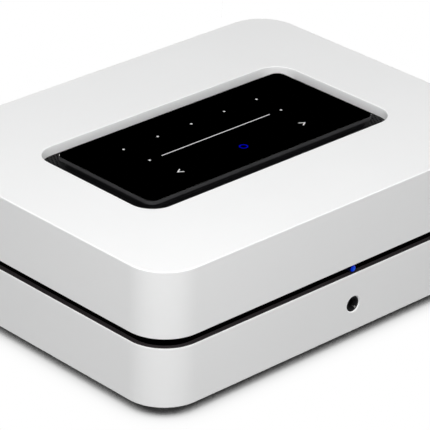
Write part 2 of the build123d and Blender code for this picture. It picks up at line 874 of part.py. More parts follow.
# Main board, with a tongue that reaches the front board
with BuildPart() as main_board:
    slab(
        main_middle_x,
        (board_front_y + board_rear_y) / 2,
        board_z,
        main_board_width,
        board_depth,
        board_thickness,
    )
    tongue_depth = board_front_y - front_board_back_y
    slab(0, board_front_y - tongue_depth / 2, board_z, front_board_width, tongue_depth, board_thickness)
    for x, y in main_hole_places:
        post(x, y, board_z, small_screw_radius + fit, board_thickness, Mode.SUBTRACT)
with BuildPart() as power_board:
    slab(
        power_middle_x,
        (board_front_y + board_rear_y) / 2,
        board_z,
        power_board_width,
        board_depth,
        board_thickness,
    )
    for x, y in power_hole_places:
        post(x, y, board_z, small_screw_radius + fit, board_thickness, Mode.SUBTRACT)
with BuildPart() as standoffs:
    for x, y in standoff_places:
        with BuildSketch(Plane.XY.offset(floor_z)) as hexagon:
            with Locations((x, y)):
                RegularPolygon(standoff_radius, 6)
        extrude(hexagon.sketch, amount=standoff_height)
        post(x, y, floor_z - standoff_sink, small_screw_radius, standoff_sink)
        thread_depth = board_screw_length - board_thickness
        post(x, y, board_z - thread_depth, small_screw_radius + sliding_fit, thread_depth, Mode.SUBTRACT)
with BuildPart() as board_screws:
    for x, y in standoff_places:
        seat = Plane((x, y, deck_z), z_dir=(0, 0, -1))
        screw(seat, small_screw_radius, board_screw_length, small_head_radius, small_head_height)
pieces["main_board"] = main_board
pieces["power_board"] = power_board
pieces["standoffs"] = standoffs
pieces["board_screws"] = board_screws

# What stands on the main board
with BuildPart() as processor_shield:
    slab(*shield_middle, deck_z, *shield_size)
    fillet(processor_shield.edges().group_by(Axis.Z)[-1], shield_edge)
with BuildPart() as wireless_module:
    slab(*module_middle, deck_z, *module_size)
with BuildPart() as antennas:
    for side in (-1, 1):
        strip_x = side * (side_x - wall - antenna_size[0] / 2)
        slab(strip_x, module_middle[1], antenna_z - antenna_size[2] / 2, *antenna_size)
        start_x = module_middle[0] + side * antenna_lead_spread / 2
        start_z = deck_z + module_size[2]
        end_x = side * (side_x - wall - antenna_size[0])
        with BuildLine() as lead_route:
            FilletPolyline(
                (start_x, module_middle[1], start_z),
                (start_x, module_middle[1], antenna_z),
                (end_x, module_middle[1], antenna_z),
                radius=antenna_lead_bend,
            )
        with BuildSketch(Plane((start_x, module_middle[1], start_z))) as lead_section:
            Circle(antenna_lead_radius)
        sweep(lead_section.sketch, path=lead_route.line)
with BuildPart() as amplifier_chips:
    for x in row(heat_sink_x, chip_spread, 2):
        slab(x, heat_sink_y, deck_z, *chip_size)
with BuildPart() as heat_sink:
    base_z = deck_z + chip_size[2]
    slab(heat_sink_x, heat_sink_y, base_z, heat_sink_length, heat_sink_depth, heat_sink_base)
    fin_pitch = (heat_sink_depth - fin_thickness) / (fin_count - 1)
    for y in row(heat_sink_y, fin_pitch, fin_count):
        slab(heat_sink_x, y, base_z + heat_sink_base, heat_sink_length, fin_thickness, fin_height)
    for side in (-1, 1):
        for end in (-1, 1):
            leg_x = heat_sink_x + side * (heat_sink_length - heat_sink_leg) / 2
            leg_y = heat_sink_y + end * (heat_sink_depth - heat_sink_leg) / 2
            slab(leg_x, leg_y, deck_z, heat_sink_leg, heat_sink_leg, chip_size[2])
with BuildPart() as output_chokes:
    for x in row(heat_sink_x, choke_pitch, choke_count):
        post(x, choke_y, deck_z, choke_radius, choke_flange)
        post(x, choke_y, deck_z, choke_core_radius, choke_height)
        post(x, choke_y, deck_z + choke_height - choke_flange, choke_radius, choke_flange)
pieces["processor_shield"] = processor_shield
pieces["wireless_module"] = wireless_module
pieces["antennas"] = antennas
pieces["amplifier_chips"] = amplifier_chips
pieces["heat_sink"] = heat_sink
pieces["output_chokes"] = output_chokes

# What stands on the power board
with BuildPart() as transformer_core:
    slab(*transformer_middle, deck_z, *transformer_size)
    window_z = deck_z + transformer_yoke
    window_height = transformer_size[2] - 2 * transformer_yoke
    window_width = transformer_size[0] - 2 * transformer_yoke
    slab(*transformer_middle, window_z, window_width, transformer_size[1], window_height, 0, Mode.SUBTRACT)
    post(*transformer_middle, window_z, transformer_yoke, window_height)
with BuildPart() as transformer_winding:
    winding_reach = min(winding_radius, window_width / 2) - fit
    post(*transformer_middle, window_z, winding_reach, window_height)
    post(*transformer_middle, window_z, transformer_yoke + sliding_fit, window_height, Mode.SUBTRACT)
with BuildPart() as bulk_capacitors:
    for y in row(capacitor_middle[1], capacitor_pitch, 2):
        post(capacitor_middle[0], y, deck_z, capacitor_radius, capacitor_height)
    fillet(bulk_capacitors.edges().group_by(Axis.Z)[-1], capacitor_edge)
with BuildPart() as fuse:
    fuse_z = deck_z + fuse_cap_radius + fuse_seat
    cap_middle = (fuse_length - fuse_cap_length) / 2
    for radius, length, middle in (
        (fuse_radius, fuse_length, 0),
        (fuse_cap_radius, fuse_cap_length, -cap_middle),
        (fuse_cap_radius, fuse_cap_length, cap_middle),
    ):
        start_x = fuse_middle[0] + middle - length / 2
        with BuildSketch(Plane((start_x, fuse_middle[1], fuse_z), z_dir=(1, 0, 0))) as fuse_section:
            Circle(radius)
        extrude(fuse_section.sketch, amount=length)
with BuildPart() as power_lead:
    lead_ends = (main_right_x - lead_reach, power_left_x + lead_reach)
    plug_top_z = deck_z + plug_size[2]
    for x in lead_ends:
        slab(x, lead_y, deck_z, *plug_size)
    with BuildLine() as supply_route:
        FilletPolyline(
            (lead_ends[0], lead_y, plug_top_z),
            (lead_ends[0], lead_y, plug_top_z + lead_rise),
            (lead_ends[1], lead_y, plug_top_z + lead_rise),
            (lead_ends[1], lead_y, plug_top_z),
            radius=lead_bend,
        )
    with BuildSketch(Plane((lead_ends[0], lead_y, plug_top_z))) as supply_section:
        Circle(lead_radius)
    sweep(supply_section.sketch, path=supply_route.line)
pieces["transformer_core"] = transformer_core
pieces["transformer_winding"] = transformer_winding
pieces["bulk_capacitors"] = bulk_capacitors
pieces["fuse"] = fuse
pieces["power_lead"] = power_lead

# Sockets on the rear edge of the main board
network_z = deck_z + network_floor + network_latch[1] + network_mouth[1] / 2
with BuildPart() as network_socket:
    slab(network_place, socket_y - network_size[1] / 2, deck_z, *network_size)
    mouth_y = socket_y - network_depth
    back_slab(network_place, network_z, mouth_y, *network_mouth, network_depth, 0, Mode.SUBTRACT)
    latch_z = network_z - (network_mouth[1] + network_latch[1]) / 2
    back_slab(network_place, latch_z, mouth_y, *network_latch, network_depth, 0, Mode.SUBTRACT)
with BuildPart() as usb_socket:
    usb_z = deck_z + usb_size[2] / 2
    slab(usb_place, socket_y - usb_size[1] / 2, deck_z, *usb_size)
    back_slab(usb_place, usb_z, socket_y - usb_depth, *usb_mouth, usb_depth, 0, Mode.SUBTRACT)
    back_slab(
        usb_place,
        usb_z + usb_tongue_rise,
        socket_y - usb_depth,
        *usb_tongue,
        usb_depth - tongue_setback,
    )
with BuildPart() as hdmi_socket:
    hdmi_z = deck_z + hdmi_size[2] / 2
    slab(hdmi_place, socket_y - hdmi_size[1] / 2, deck_z, *hdmi_size)
    with BuildSketch(Plane.XZ.offset(-(socket_y - hdmi_depth))) as hdmi_outline:
        with Locations((hdmi_place, hdmi_z)):
            Rectangle(*hdmi_mouth)
        chamfer(hdmi_outline.vertices().group_by(Axis.Y)[0], hdmi_chamfer)
    extrude(hdmi_outline.sketch, amount=-hdmi_depth, mode=Mode.SUBTRACT)
    back_slab(hdmi_place, hdmi_z, socket_y - hdmi_depth, *hdmi_tongue, hdmi_depth - tongue_setback)
pieces["network_socket"] = network_socket
pieces["usb_socket"] = usb_socket
pieces["hdmi_socket"] = hdmi_socket

# Optical socket with a sprung shutter that swings inwards about its upper edge
optical_z = deck_z + optical_size[2] / 2
hinge_z = optical_z + optical_mouth / 2 - shutter_hinge_drop
hinge_y = socket_y - shutter_setback - shutter_thickness / 2
with BuildPart() as optical_socket:
    slab(optical_place, socket_y - optical_size[1] / 2, deck_z, *optical_size)
    back_slab(
        optical_place,
        optical_z,
        socket_y - optical_depth,
        optical_mouth,
        optical_mouth,
        optical_depth,
        0,
        Mode.SUBTRACT,
    )
    with BuildSketch(Plane((optical_place, hinge_y, hinge_z), z_dir=(1, 0, 0))) as trunnion_hole:
        Circle(trunnion_radius + sliding_fit)
    extrude(
        trunnion_hole.sketch,
        amount=optical_mouth / 2 + trunnion_length,
        both=True,
        mode=Mode.SUBTRACT,
    )
with BuildPart() as optical_shutter:
    flap_low_z = optical_z - optical_mouth / 2 + shutter_fit
    back_slab(
        optical_place,
        (flap_low_z + hinge_z) / 2,
        hinge_y - shutter_thickness / 2,
        optical_mouth - 2 * shutter_fit,
        hinge_z - flap_low_z,
        shutter_thickness,
    )
    with BuildSketch(Plane((optical_place, hinge_y, hinge_z), z_dir=(1, 0, 0))) as knuckle:
        Circle(shutter_thickness / 2)
    extrude(knuckle.sketch, amount=optical_mouth / 2 - shutter_fit, both=True)
    with BuildSketch(Plane((optical_place, hinge_y, hinge_z), z_dir=(1, 0, 0))) as trunnion:
        Circle(trunnion_radius)
    extrude(trunnion.sketch, amount=optical_mouth / 2 + trunnion_length - shutter_fit, both=True)
pieces["optical_socket"] = optical_socket
pieces["optical_shutter"] = optical_shutter

# Line-in socket and subwoofer socket
line_z = deck_z + line_size[2] / 2
subwoofer_z = deck_z + subwoofer_size[2] / 2
with BuildPart() as line_in_socket:
    slab(line_place, panel_y - board_gap - line_size[1] / 2, deck_z, *line_size)
    back_post(line_place, line_z, panel_y - board_gap, line_nose_radius, socket_y - panel_y + board_gap)
    back_post(
        line_place,
        line_z,
        socket_y - line_bore_depth,
        line_bore_radius,
        line_bore_depth,
        Mode.SUBTRACT,
    )
with BuildPart() as subwoofer_socket:
    slab(subwoofer_place, panel_y - board_gap - subwoofer_size[1] / 2, deck_z, *subwoofer_size)
    barrel_y = panel_y - board_gap
    barrel_end_y = panel_outer_y + subwoofer_length
    back_post(subwoofer_place, subwoofer_z, barrel_y, subwoofer_radius, barrel_end_y - barrel_y)
    back_post(subwoofer_place, subwoofer_z, panel_outer_y, subwoofer_collar_radius, subwoofer_collar)
    back_post(
        subwoofer_place,
        subwoofer_z,
        barrel_end_y - subwoofer_bore_depth,
        subwoofer_bore_radius,
        subwoofer_bore_depth,
        Mode.SUBTRACT,
    )
    rim_edges = subwoofer_socket.edges().filter_by(GeomType.CIRCLE)
    rim_edges = rim_edges.filter_by_position(Axis.Y, barrel_end_y, barrel_end_y).sort_by(SortBy.RADIUS)
    chamfer(rim_edges[-1], jack_bevel)
pieces["line_in_socket"] = line_in_socket
pieces["subwoofer_socket"] = subwoofer_socket

# Reset button, guided by the rear panel and by its switch
reset_z = deck_z + reset_height
reset_flange_y = panel_y - fit - reset_flange
stem_end_y = reset_flange_y - reset_travel - fit - reset_engagement
switch_y = reset_flange_y - reset_travel - fit
with BuildPart() as reset_button:
    back_post(
        reset_place,
        reset_z,
        reset_flange_y + reset_flange,
        reset_radius,
        panel_outer_y + reset_proud - reset_flange_y - reset_flange,
    )
    back_post(reset_place, reset_z, reset_flange_y, reset_flange_radius, reset_flange)
    back_post(reset_place, reset_z, stem_end_y, reset_stem_radius, reset_flange_y - stem_end_y)
with BuildPart() as reset_switch:
    slab(reset_place, switch_y - switch_size[1] / 2, deck_z, *switch_size)
    switch_bore = reset_engagement + reset_travel + fit
    back_post(
        reset_place,
        reset_z,
        switch_y - switch_bore,
        reset_stem_radius + sliding_fit,
        switch_bore,
        Mode.SUBTRACT,
    )
pieces["reset_button"] = reset_button
pieces["reset_switch"] = reset_switch

# Mains inlet with its two pins, on the power board
inlet_z = deck_z + inlet_size[2] / 2
inlet_end_y = panel_outer_y + inlet_flange
inlet_floor_y = inlet_end_y - inlet_depth
with BuildPart() as mains_inlet:
    slab(inlet_place, inlet_end_y - inlet_size[1] / 2, deck_z, *inlet_size)
    back_slab(
        inlet_place,
        inlet_z,
        panel_outer_y,
        inlet_size[0] + 2 * inlet_flange_reach,
        inlet_size[2] + 2 * inlet_flange_reach,
        inlet_flange,
        inlet_flange_reach,
    )
    with BuildSketch(Plane.XZ.offset(-inlet_floor_y)) as lobes:
        with Locations(*[(x, inlet_z) for x in row(inlet_place, pin_pitch, 2)]):
            Circle(inlet_lobe_radius)
        with Locations((inlet_place, inlet_z)):
            Rectangle(pin_pitch, inlet_waist)
    extrude(lobes.sketch, amount=-inlet_depth, mode=Mode.SUBTRACT)
with BuildPart() as mains_pins:
    for x in row(inlet_place, pin_pitch, 2):
        back_post(x, inlet_z, inlet_floor_y, pin_radius, pin_length)
    fillet(mains_pins.edges().group_by(Axis.Y)[-1], pin_tip)
pieces["mains_inlet"] = mains_inlet
pieces["mains_pins"] = mains_pins

# Speaker terminals: block, hollow studs, and the board that the studs are soldered to
block_face_y = panel_outer_y + terminal_block_thickness
collar_end_y = panel_y - board_gap
speaker_board_y = collar_end_y - board_thickness
stud_end_y = rear_y + terminal_reach - nut_cap - nut_gap
stud_start_y = speaker_board_y - stud_tail
stud_face_y = block_face_y + stud_flange
with BuildPart() as terminal_block:
    back_slab(
        terminal_middle_x,
        terminal_z,
        panel_outer_y,
        block_length,
        terminal_block_height,
        terminal_block_thickness,
        terminal_block_radius,
    )
    chamfer(terminal_block.edges().group_by(Axis.Y)[-1], nut_edge)
    for x in terminal_places:
        back_post(x, terminal_z, collar_end_y, collar_radius, panel_outer_y - collar_end_y)
        back_post(
            x,
            terminal_z,
            collar_end_y,
            stud_radius + sliding_fit,
            block_face_y - collar_end_y,
            Mode.SUBTRACT,
        )
with BuildPart() as terminal_studs:
    for x in terminal_places:
        back_post(x, terminal_z, stud_start_y, stud_radius, stud_end_y - stud_start_y)
        back_post(x, terminal_z, block_face_y, stud_flange_radius, stud_flange)
        back_post(x, terminal_z, stud_end_y - banana_depth, banana_radius, banana_depth, Mode.SUBTRACT)
        with BuildSketch(Plane.XY.offset(terminal_z - stud_radius)) as wire_hole:
            with Locations((x, stud_face_y + wire_hole_reach)):
                Circle(wire_hole_radius)
        extrude(wire_hole.sketch, amount=2 * stud_radius, mode=Mode.SUBTRACT)
with BuildPart() as speaker_board:
    back_slab(
        terminal_middle_x,
        terminal_z,
        speaker_board_y,
        block_length - 2 * speaker_board_margin,
        speaker_board_height,
        board_thickness,
    )
    for x in terminal_places:
        back_post(
            x,
            terminal_z,
            speaker_board_y,
            stud_radius + sliding_fit,
            board_thickness,
            Mode.SUBTRACT,
        )
pieces["terminal_block"] = terminal_block
pieces["terminal_studs"] = terminal_studs
pieces["speaker_board"] = speaker_board

# Clamp washers and thumb nuts: each nut turns on its stud and carries its washer
washer_y = stud_face_y + nut_gap
nut_y = washer_y + washer_thickness + nut_gap
nut_end_y = rear_y + terminal_reach
nut_length = nut_end_y - nut_y
for number, x in enumerate(terminal_places, start=1):
    with BuildPart() as clamp_washer:
        back_post(x, terminal_z, washer_y, washer_radius, washer_thickness)
        back_post(
            x,
            terminal_z,
            washer_y,
            stud_radius + sliding_fit,
            washer_thickness,
            Mode.SUBTRACT,
        )
    with BuildPart() as thumb_nut:
        back_post(x, terminal_z, nut_y, nut_radius, nut_length)
        chamfer(thumb_nut.edges().group_by(Axis.Y)[-1], nut_edge)
        with BuildSketch(Plane.XZ.offset(-(nut_y + nut_collar))) as flutes:
            with Locations((x, terminal_z)):
                with PolarLocations(nut_radius + nut_flute_radius / 2, nut_flute_count):
                    Circle(nut_flute_radius)
        extrude(flutes.sketch, amount=-(nut_length - nut_collar), mode=Mode.SUBTRACT)
        back_post(
            x,
            terminal_z,
            nut_y,
            stud_radius + sliding_fit,
            nut_length - nut_cap,
            Mode.SUBTRACT,
        )
        back_post(x, terminal_z, nut_y, nut_mouth_radius, nut_length, Mode.SUBTRACT)
    pieces[f"clamp_washer_{number}"] = clamp_washer
    pieces[f"thumb_nut_{number}"] = thumb_nut

# Rear panel: a sheet behind the opening in the back, cut out for all that passes through it
with BuildPart() as rear_panel:
    back_slab(
        0,
        (floor_z + ceiling_z) / 2,
        panel_y,
        panel_width,
        ceiling_z - floor_z,
        panel_thickness,
        notch_radius,
    )
    for place, size in (
        (network_place, network_size),
        (usb_place, usb_size),
        (hdmi_place, hdmi_size),
        (optical_place, optical_size),
        (inlet_place, inlet_size),
    ):
        back_slab(
            place,
            deck_z + size[2] / 2,
            panel_y,
            size[0] + 2 * fit,
            size[2] + 2 * fit,
            panel_thickness,
            0,
            Mode.SUBTRACT,
        )
    for place, height, radius in (
        (line_place, line_z, line_nose_radius + fit),
        (subwoofer_place, subwoofer_z, subwoofer_radius + fit),
        (reset_place, reset_z, reset_radius + sliding_fit),
    ):
        back_post(place, height, panel_y, radius, panel_thickness, Mode.SUBTRACT)
    for x in terminal_places:
        back_post(x, terminal_z, panel_y, collar_radius + fit, panel_thickness, Mode.SUBTRACT)
    for x, z in panel_screw_places:
        back_post(x, z, panel_y, screw_radius + fit, panel_thickness, Mode.SUBTRACT)
    with BuildSketch(Plane.XZ.offset(-panel_y)) as rear_slots:
        rear_vent_columns = row(rear_vent_x, vent_pitch, rear_vent_count)
        with Locations(*[(x, rear_vent_z) for x in rear_vent_columns]):
            SlotOverall(rear_vent_length, vent_slot, rotation=90)
    extrude(rear_slots.sketch, amount=-panel_thickness, mode=Mode.SUBTRACT)
with BuildPart() as panel_screws:
    for x, z in panel_screw_places:
        seat = Plane((x, panel_outer_y, z), z_dir=(0, -1, 0))
        screw(seat, screw_radius, panel_screw_length, screw_head_radius, panel_thickness)
pieces["rear_panel"] = rear_panel
pieces["panel_screws"] = panel_screws

for name, piece in pieces.items():
    piece.part.label = name
    export_step(piece.part, f"parts/{name}.step")
print("pieces", len(pieces))
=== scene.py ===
"""Looks of a streaming amplifier with a touch panel in its top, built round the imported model."""

import logging
import math
from dataclasses import dataclass
from enum import Enum
from typing import ClassVar, Iterable, Sequence

import bmesh
import bpy
from bpy.types import ID, Material, Mesh, Node, NodeTree, Object
from bpy.types import NodeSocket as Socket
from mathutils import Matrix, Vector


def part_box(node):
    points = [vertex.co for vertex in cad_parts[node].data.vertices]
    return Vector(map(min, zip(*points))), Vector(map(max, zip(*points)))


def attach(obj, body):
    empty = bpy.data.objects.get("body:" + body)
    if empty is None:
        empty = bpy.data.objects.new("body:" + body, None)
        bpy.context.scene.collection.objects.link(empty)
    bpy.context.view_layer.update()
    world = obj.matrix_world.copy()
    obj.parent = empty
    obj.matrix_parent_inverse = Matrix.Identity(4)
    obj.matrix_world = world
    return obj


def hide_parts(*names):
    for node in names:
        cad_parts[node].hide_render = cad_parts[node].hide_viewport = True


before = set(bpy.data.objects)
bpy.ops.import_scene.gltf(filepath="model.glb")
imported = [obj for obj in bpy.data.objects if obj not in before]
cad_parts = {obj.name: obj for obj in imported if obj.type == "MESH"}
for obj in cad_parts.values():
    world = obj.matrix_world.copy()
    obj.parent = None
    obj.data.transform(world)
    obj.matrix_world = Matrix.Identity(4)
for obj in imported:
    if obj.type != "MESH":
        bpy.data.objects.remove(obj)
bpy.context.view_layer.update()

log = logging.getLogger("amplifier")

Triple = tuple[float, float, float]
Colour = Triple
Wire = Node | Socket | float | int | bool | str | tuple | Material
Pairs = tuple[tuple[float, float], ...]
Traits = ClassVar[dict[str, float]]
Wear = ClassVar[tuple[float, float, float, float]]

MM = 0.001
ROOT_3 = math.sqrt(3.0)
SHARP_ANGLE = math.radians(32.0)
WAVE_SCALE = math.pi / 10.0


class Wiring:
    """Adds nodes to a shader or geometry tree and joins them."""

    def __init__(self, tree: NodeTree) -> None:
        """Keep the tree that the nodes go into."""
        self.tree = tree

    def add(self, kind: str, inputs: dict[str | int, Wire] | None = None, **settings: Wire) -> Node:
        """Add a node, set its settings, and give its inputs a value or a link.

        Args:
            kind: Blender's name of the node type.
            inputs: Value, output socket or node for each input, by name or number.
            settings: Properties of the node itself.

        Returns:
            The new node.
        """
        node = self.tree.nodes.new(kind)
        for key, value in settings.items():
            setattr(node, key, value)
        for key, value in (inputs or {}).items():
            self.feed(node.inputs[key], value)
        return node

    def feed(self, socket: Socket, value: Wire) -> None:
        """Link an output, or a node's first output, to the socket, or set the socket's own value."""
        if isinstance(value, Node):
            value = value.outputs[0]
        if isinstance(value, Socket):
            self.tree.links.new(value, socket)
        else:
            socket.default_value = value

    def math(self, operation: str, *values: Wire) -> Node:
        """Add a Math node, given Blender's name of the operation and the operands."""
        return self.add("ShaderNodeMath", dict(enumerate(values)), operation=operation)

    def vector(self, operation: str, *values: Wire) -> Socket:
        """Return the result of a Vector Math node: a number for LENGTH and DOT_PRODUCT, else a vector."""
        node = self.add("ShaderNodeVectorMath", dict(enumerate(values)), operation=operation)
        return node.outputs["Value" if operation in ("LENGTH", "DOT_PRODUCT") else "Vector"]

    def ramp(self, factor: Wire, *stops: tuple[float, Colour]) -> Node:
        """Add a colour ramp.

        Args:
            factor: What the ramp is read by.
            stops: Position and colour of each stop, lowest first.

        Returns:
            The ramp's node.
        """
        node = self.add("ShaderNodeValToRGB", {"Fac": factor})
        elements = node.color_ramp.elements
        while len(elements) < len(stops):
            elements.new(0.5)
        for element, (position, colour) in zip(elements, stops):
            element.position = position
            element.color = (*colour, 1.0)
        return node

    def noise(self, place: Wire, scale: float, detail: float = 2.0, distortion: float = 0.0) -> Node:
        """Add a soft noise with a number of patches to the metre."""
        inputs = {"Vector": place, "Scale": scale, "Detail": detail, "Distortion": distortion}
        return self.add("ShaderNodeTexNoise", inputs)

    def spread(self, share: Wire, low: float, high: float) -> Node:
        """Add the value that lies at a share of the way from low to high."""
        return self.add("ShaderNodeMapRange", {"Value": share, "To Min": low, "To Max": high})

    def combine(self, *parts: Wire) -> Node:
        """Add the vector with these parts along X, Y and Z."""
        return self.add("ShaderNodeCombineXYZ", dict(enumerate(parts)))

    def moved(self, shape: Wire, way: Wire) -> Node:
        """Move a geometry along a vector."""
        return self.add("GeometryNodeTransform", {"Geometry": shape, "Translation": way})

    def joined(self, *shapes: Wire) -> Node:
        """Join geometries.

        Args:
            shapes: The geometries.

        Returns:
            The joining node.
        """
        node = self.add("GeometryNodeJoinGeometry")
        for shape in shapes:
            self.feed(node.inputs["Geometry"], shape)
        return node

    def circle(self, sides: int, radius: Wire) -> Node:
        """Add a level circle."""
        return self.add("GeometryNodeCurvePrimitiveCircle", {"Resolution": sides, "Radius": radius})

    def grid(self, width: Wire, depth: Wire, columns: Wire, rows: Wire) -> Node:
        """Add a level grid of points."""
        inputs = {"Size X": width, "Size Y": depth, "Vertices X": columns, "Vertices Y": rows}
        return self.add("GeometryNodeMeshGrid", inputs)

    def laid(self, points: Wire, piece: Wire, **more: Wire) -> Node:
        """Lay a copy of a piece on each point."""
        return self.add("GeometryNodeInstanceOnPoints", {"Points": points, "Instance": piece, **more})


class Surface(Wiring):
    """The nodes of a material, with its shader and the place on the piece."""

    def __init__(self, material: Material) -> None:
        """Start from the material's own shader."""
        super().__init__(material.node_tree)
        self.shader = self.tree.nodes["Principled BSDF"]
        self.place = self.add("ShaderNodeTexCoord").outputs["Object"]

    def put(self, name: str, value: Wire) -> None:
        """Set or link an input of the shader."""
        self.feed(self.shader.inputs[name], value)


class Axis(Enum):
    """Way in which a brushed or banded finish runs."""

    X = (0.04, 1.0, 1.0)
    Y = (1.0, 0.04, 1.0)
    Z = (1.0, 1.0, 0.04)
    NONE = (1.0, 1.0, 1.0)


@dataclass(frozen=True)
class Finish:
    """A surface with a mottled colour, an uneven gloss and a fine relief. Lengths are in metres.

    Its wear is the gloss's spots to a patch, their detail and distortion, and the share of change.
    """

    traits: Traits = {}
    wear: Wear = (3.0, 3.0, 0.0, 0.1)

    name: str
    colour: Colour
    roughness: float = 0.5
    mottle: float = 0.05
    patch: float = 0.02
    grain: float = 0.0008
    relief: float = 0.00004
    strength: float = 0.3
    axis: Axis = Axis.NONE
    slot: str = ""

    def material(self) -> Material:
        """Return the finish's material, and make it the first time."""
        title = f"{self.name}_finish"
        made = bpy.data.materials.get(title)
        if made is None:
            made = bpy.data.materials.new(title)
            made.use_nodes = True
            surface = Surface(made)
            self.tone(surface)
            self.gloss(surface)
            self.texture(surface)
            for name, value in self.traits.items():
                surface.put(name, value)
            self.character(surface)
        return made

    def tinted(self, share: float) -> Colour:
        """Return the colour made darker or lighter by a share."""
        return tuple(min(max(part * (1.0 + share), 0.0), 1.0) for part in self.colour)

    def tone(self, surface: Surface) -> None:
        """Give the surface its colour, in soft patches."""
        share = surface.noise(surface.place, 1.0 / self.patch, detail=4.0)
        colour = surface.ramp(share, (0.3, self.tinted(-self.mottle)), (0.7, self.tinted(self.mottle)))
        surface.put("Base Color", colour)

    def gloss(self, surface: Surface) -> None:
        """Give the surface a roughness that varies a little."""
        spots, detail, distortion, change = self.wear
        share = surface.noise(surface.place, spots / self.patch, detail, distortion)
        low, high = self.roughness * (1.0 - change), self.roughness * (1.0 + change)
        surface.put("Roughness", surface.spread(share, low, high))

    def height(self, surface: Surface) -> Wire:
        """Return the height of the fine relief."""
        stretched = surface.add("ShaderNodeMapping", {"Vector": surface.place, "Scale": self.axis.value})
        return surface.noise(stretched, 1.0 / self.grain)

    def texture(self, surface: Surface) -> None:
        """Give the surface its relief."""
        inputs = {"Height": self.height(surface), "Strength": self.strength, "Distance": self.relief}
        surface.put("Normal", surface.add("ShaderNodeBump", inputs))

    def character(self, surface: Surface) -> None:
        """Set what only this kind of finish has."""


@dataclass(frozen=True)
class SatinPaint(Finish):
    """Powder paint on cast metal, with a soft sheen and a faint peel."""

    traits: Traits = {"Specular IOR Level": 0.4, "Coat Weight": 0.12, "Coat Roughness": 0.3}


@dataclass(frozen=True)
class Moulded(Finish):
    """Moulded plastic with the pebbled grain of its tool."""

    traits: Traits = {"Specular IOR Level": 0.35}

    def height(self, surface: Surface) -> Wire:
        """Return a pebbled relief."""
        return surface.add("ShaderNodeTexVoronoi", {"Vector": surface.place, "Scale": 1.0 / self.grain})


@dataclass(frozen=True)
class SteppedFrame(Moulded):
    """Moulded plastic, with painted shade: the wall over the frame's ledge is darkened to a deep matt black
    to stand for the shade under the upper shell.
    """

    traits: Traits = {"Specular IOR Level": 0.0}

    ledge: float = 32.25 * MM

    def tone(self, surface: Surface) -> None:
        """Colour the ledge, and paint shade on the wall over it by darkening it nearly to black."""
        height = surface.add("ShaderNodeSeparateXYZ", {0: surface.place}).outputs["Z"]
        painted_shade = surface.math("GREATER_THAN", height, self.ledge)
        # Painted shade: the wall over the ledge takes the colour darkened by 99 per cent.
        colour = surface.ramp(painted_shade, (0.0, self.colour), (1.0, self.tinted(-0.99)))
        surface.put("Base Color", colour)


@dataclass(frozen=True)
class MattPlate(Finish):
    """Sheet metal in a matt black that takes nearly all light."""

    traits: Traits = {"Specular IOR Level": 0.15}


@dataclass(frozen=True)
class Metal(Finish):
    """Plated or bare metal, brushed along its axis where it has one."""

    traits: Traits = {"Metallic": 1.0}


@dataclass(frozen=True)
class Threaded(Metal):
    """Metal with a fine thread along Y. The grain is the thread's pitch."""

    def height(self, surface: Surface) -> Wire:
        """Return the ridges of the thread."""
        inputs = {"Vector": surface.place, "Scale": WAVE_SCALE / self.grain}
        ridges = surface.add("ShaderNodeTexWave", inputs, bands_direction="Y", wave_profile="TRI")
        return ridges.outputs["Fac"]


@dataclass(frozen=True)
class Wound(Finish):
    """Lacquered wire in close turns stacked along Z. The grain is the wire's thickness."""

    traits: Traits = {"Metallic": 0.8, "Coat Weight": 0.6, "Coat Roughness": 0.15}

    def height(self, surface: Surface) -> Wire:
        """Return the round backs of the turns."""
        inputs = {"Vector": surface.place, "Scale": WAVE_SCALE / self.grain, "Distortion": 0.4}
        return surface.add("ShaderNodeTexWave", inputs, bands_direction="Z").outputs["Fac"]


@dataclass(frozen=True)
class Resin(Finish):
    """Glossy moulded resin or film that light passes a little way into."""

    traits: Traits = {"IOR": 1.49}

    clearness: float = 0.0

    def character(self, surface: Surface) -> None:
        """Let some light through."""
        surface.put("Transmission Weight", self.clearness)


@dataclass(frozen=True)
class CoverGlass(Finish):
    """Clear cover glass with faint smears, and a coating that cuts its reflections."""

    traits: Traits = {"Transmission Weight": 1.0, "IOR": 1.5, "Specular IOR Level": 0.15}
    wear: Wear = (1.0, 5.0, 1.5, 0.4)

    def tone(self, surface: Surface) -> None:
        """Leave the glass one clear colour."""
        surface.put("Base Color", (*self.colour, 1.0))


@dataclass(frozen=True)
class LitMark(Finish):
    """A mark or lamp lit from behind."""

    traits: Traits = {"Specular IOR Level": 0.1}

    core: Colour = (1.0, 1.0, 1.0)
    glow: float = 1.0

    def tone(self, surface: Surface) -> None:
        """Leave the surface nearly dark but for its own light."""
        surface.put("Base Color", (*self.tinted(-0.95), 1.0))

    def light(self, surface: Surface) -> Node:
        """Return the colour of the light, a little uneven over the mark."""
        share = surface.noise(surface.place, 1.0 / self.patch)
        return surface.ramp(share, (0.0, self.core), (1.0, self.colour))

    def character(self, surface: Surface) -> None:
        """Make the surface shine."""
        surface.put("Emission Color", self.light(surface))
        surface.put("Emission Strength", self.glow)


@dataclass(frozen=True)
class LampTip(LitMark):
    """The end of a light rod: bright at the middle of its face, dark down its sides."""

    middle: Triple = (0.0, 0.0, 0.0)
    reach: float = 0.002

    def light(self, surface: Surface) -> Node:
        """Return the colour of the light by distance from the middle of the face."""
        past = surface.vector("LENGTH", surface.vector("SUBTRACT", surface.place, self.middle))
        share = surface.math("DIVIDE", past, self.reach)
        rim = self.tinted(-0.3)
        return surface.ramp(share, (0.0, self.core), (0.6, self.colour), (0.95, rim), (1.0, (0.0, 0.0, 0.0)))


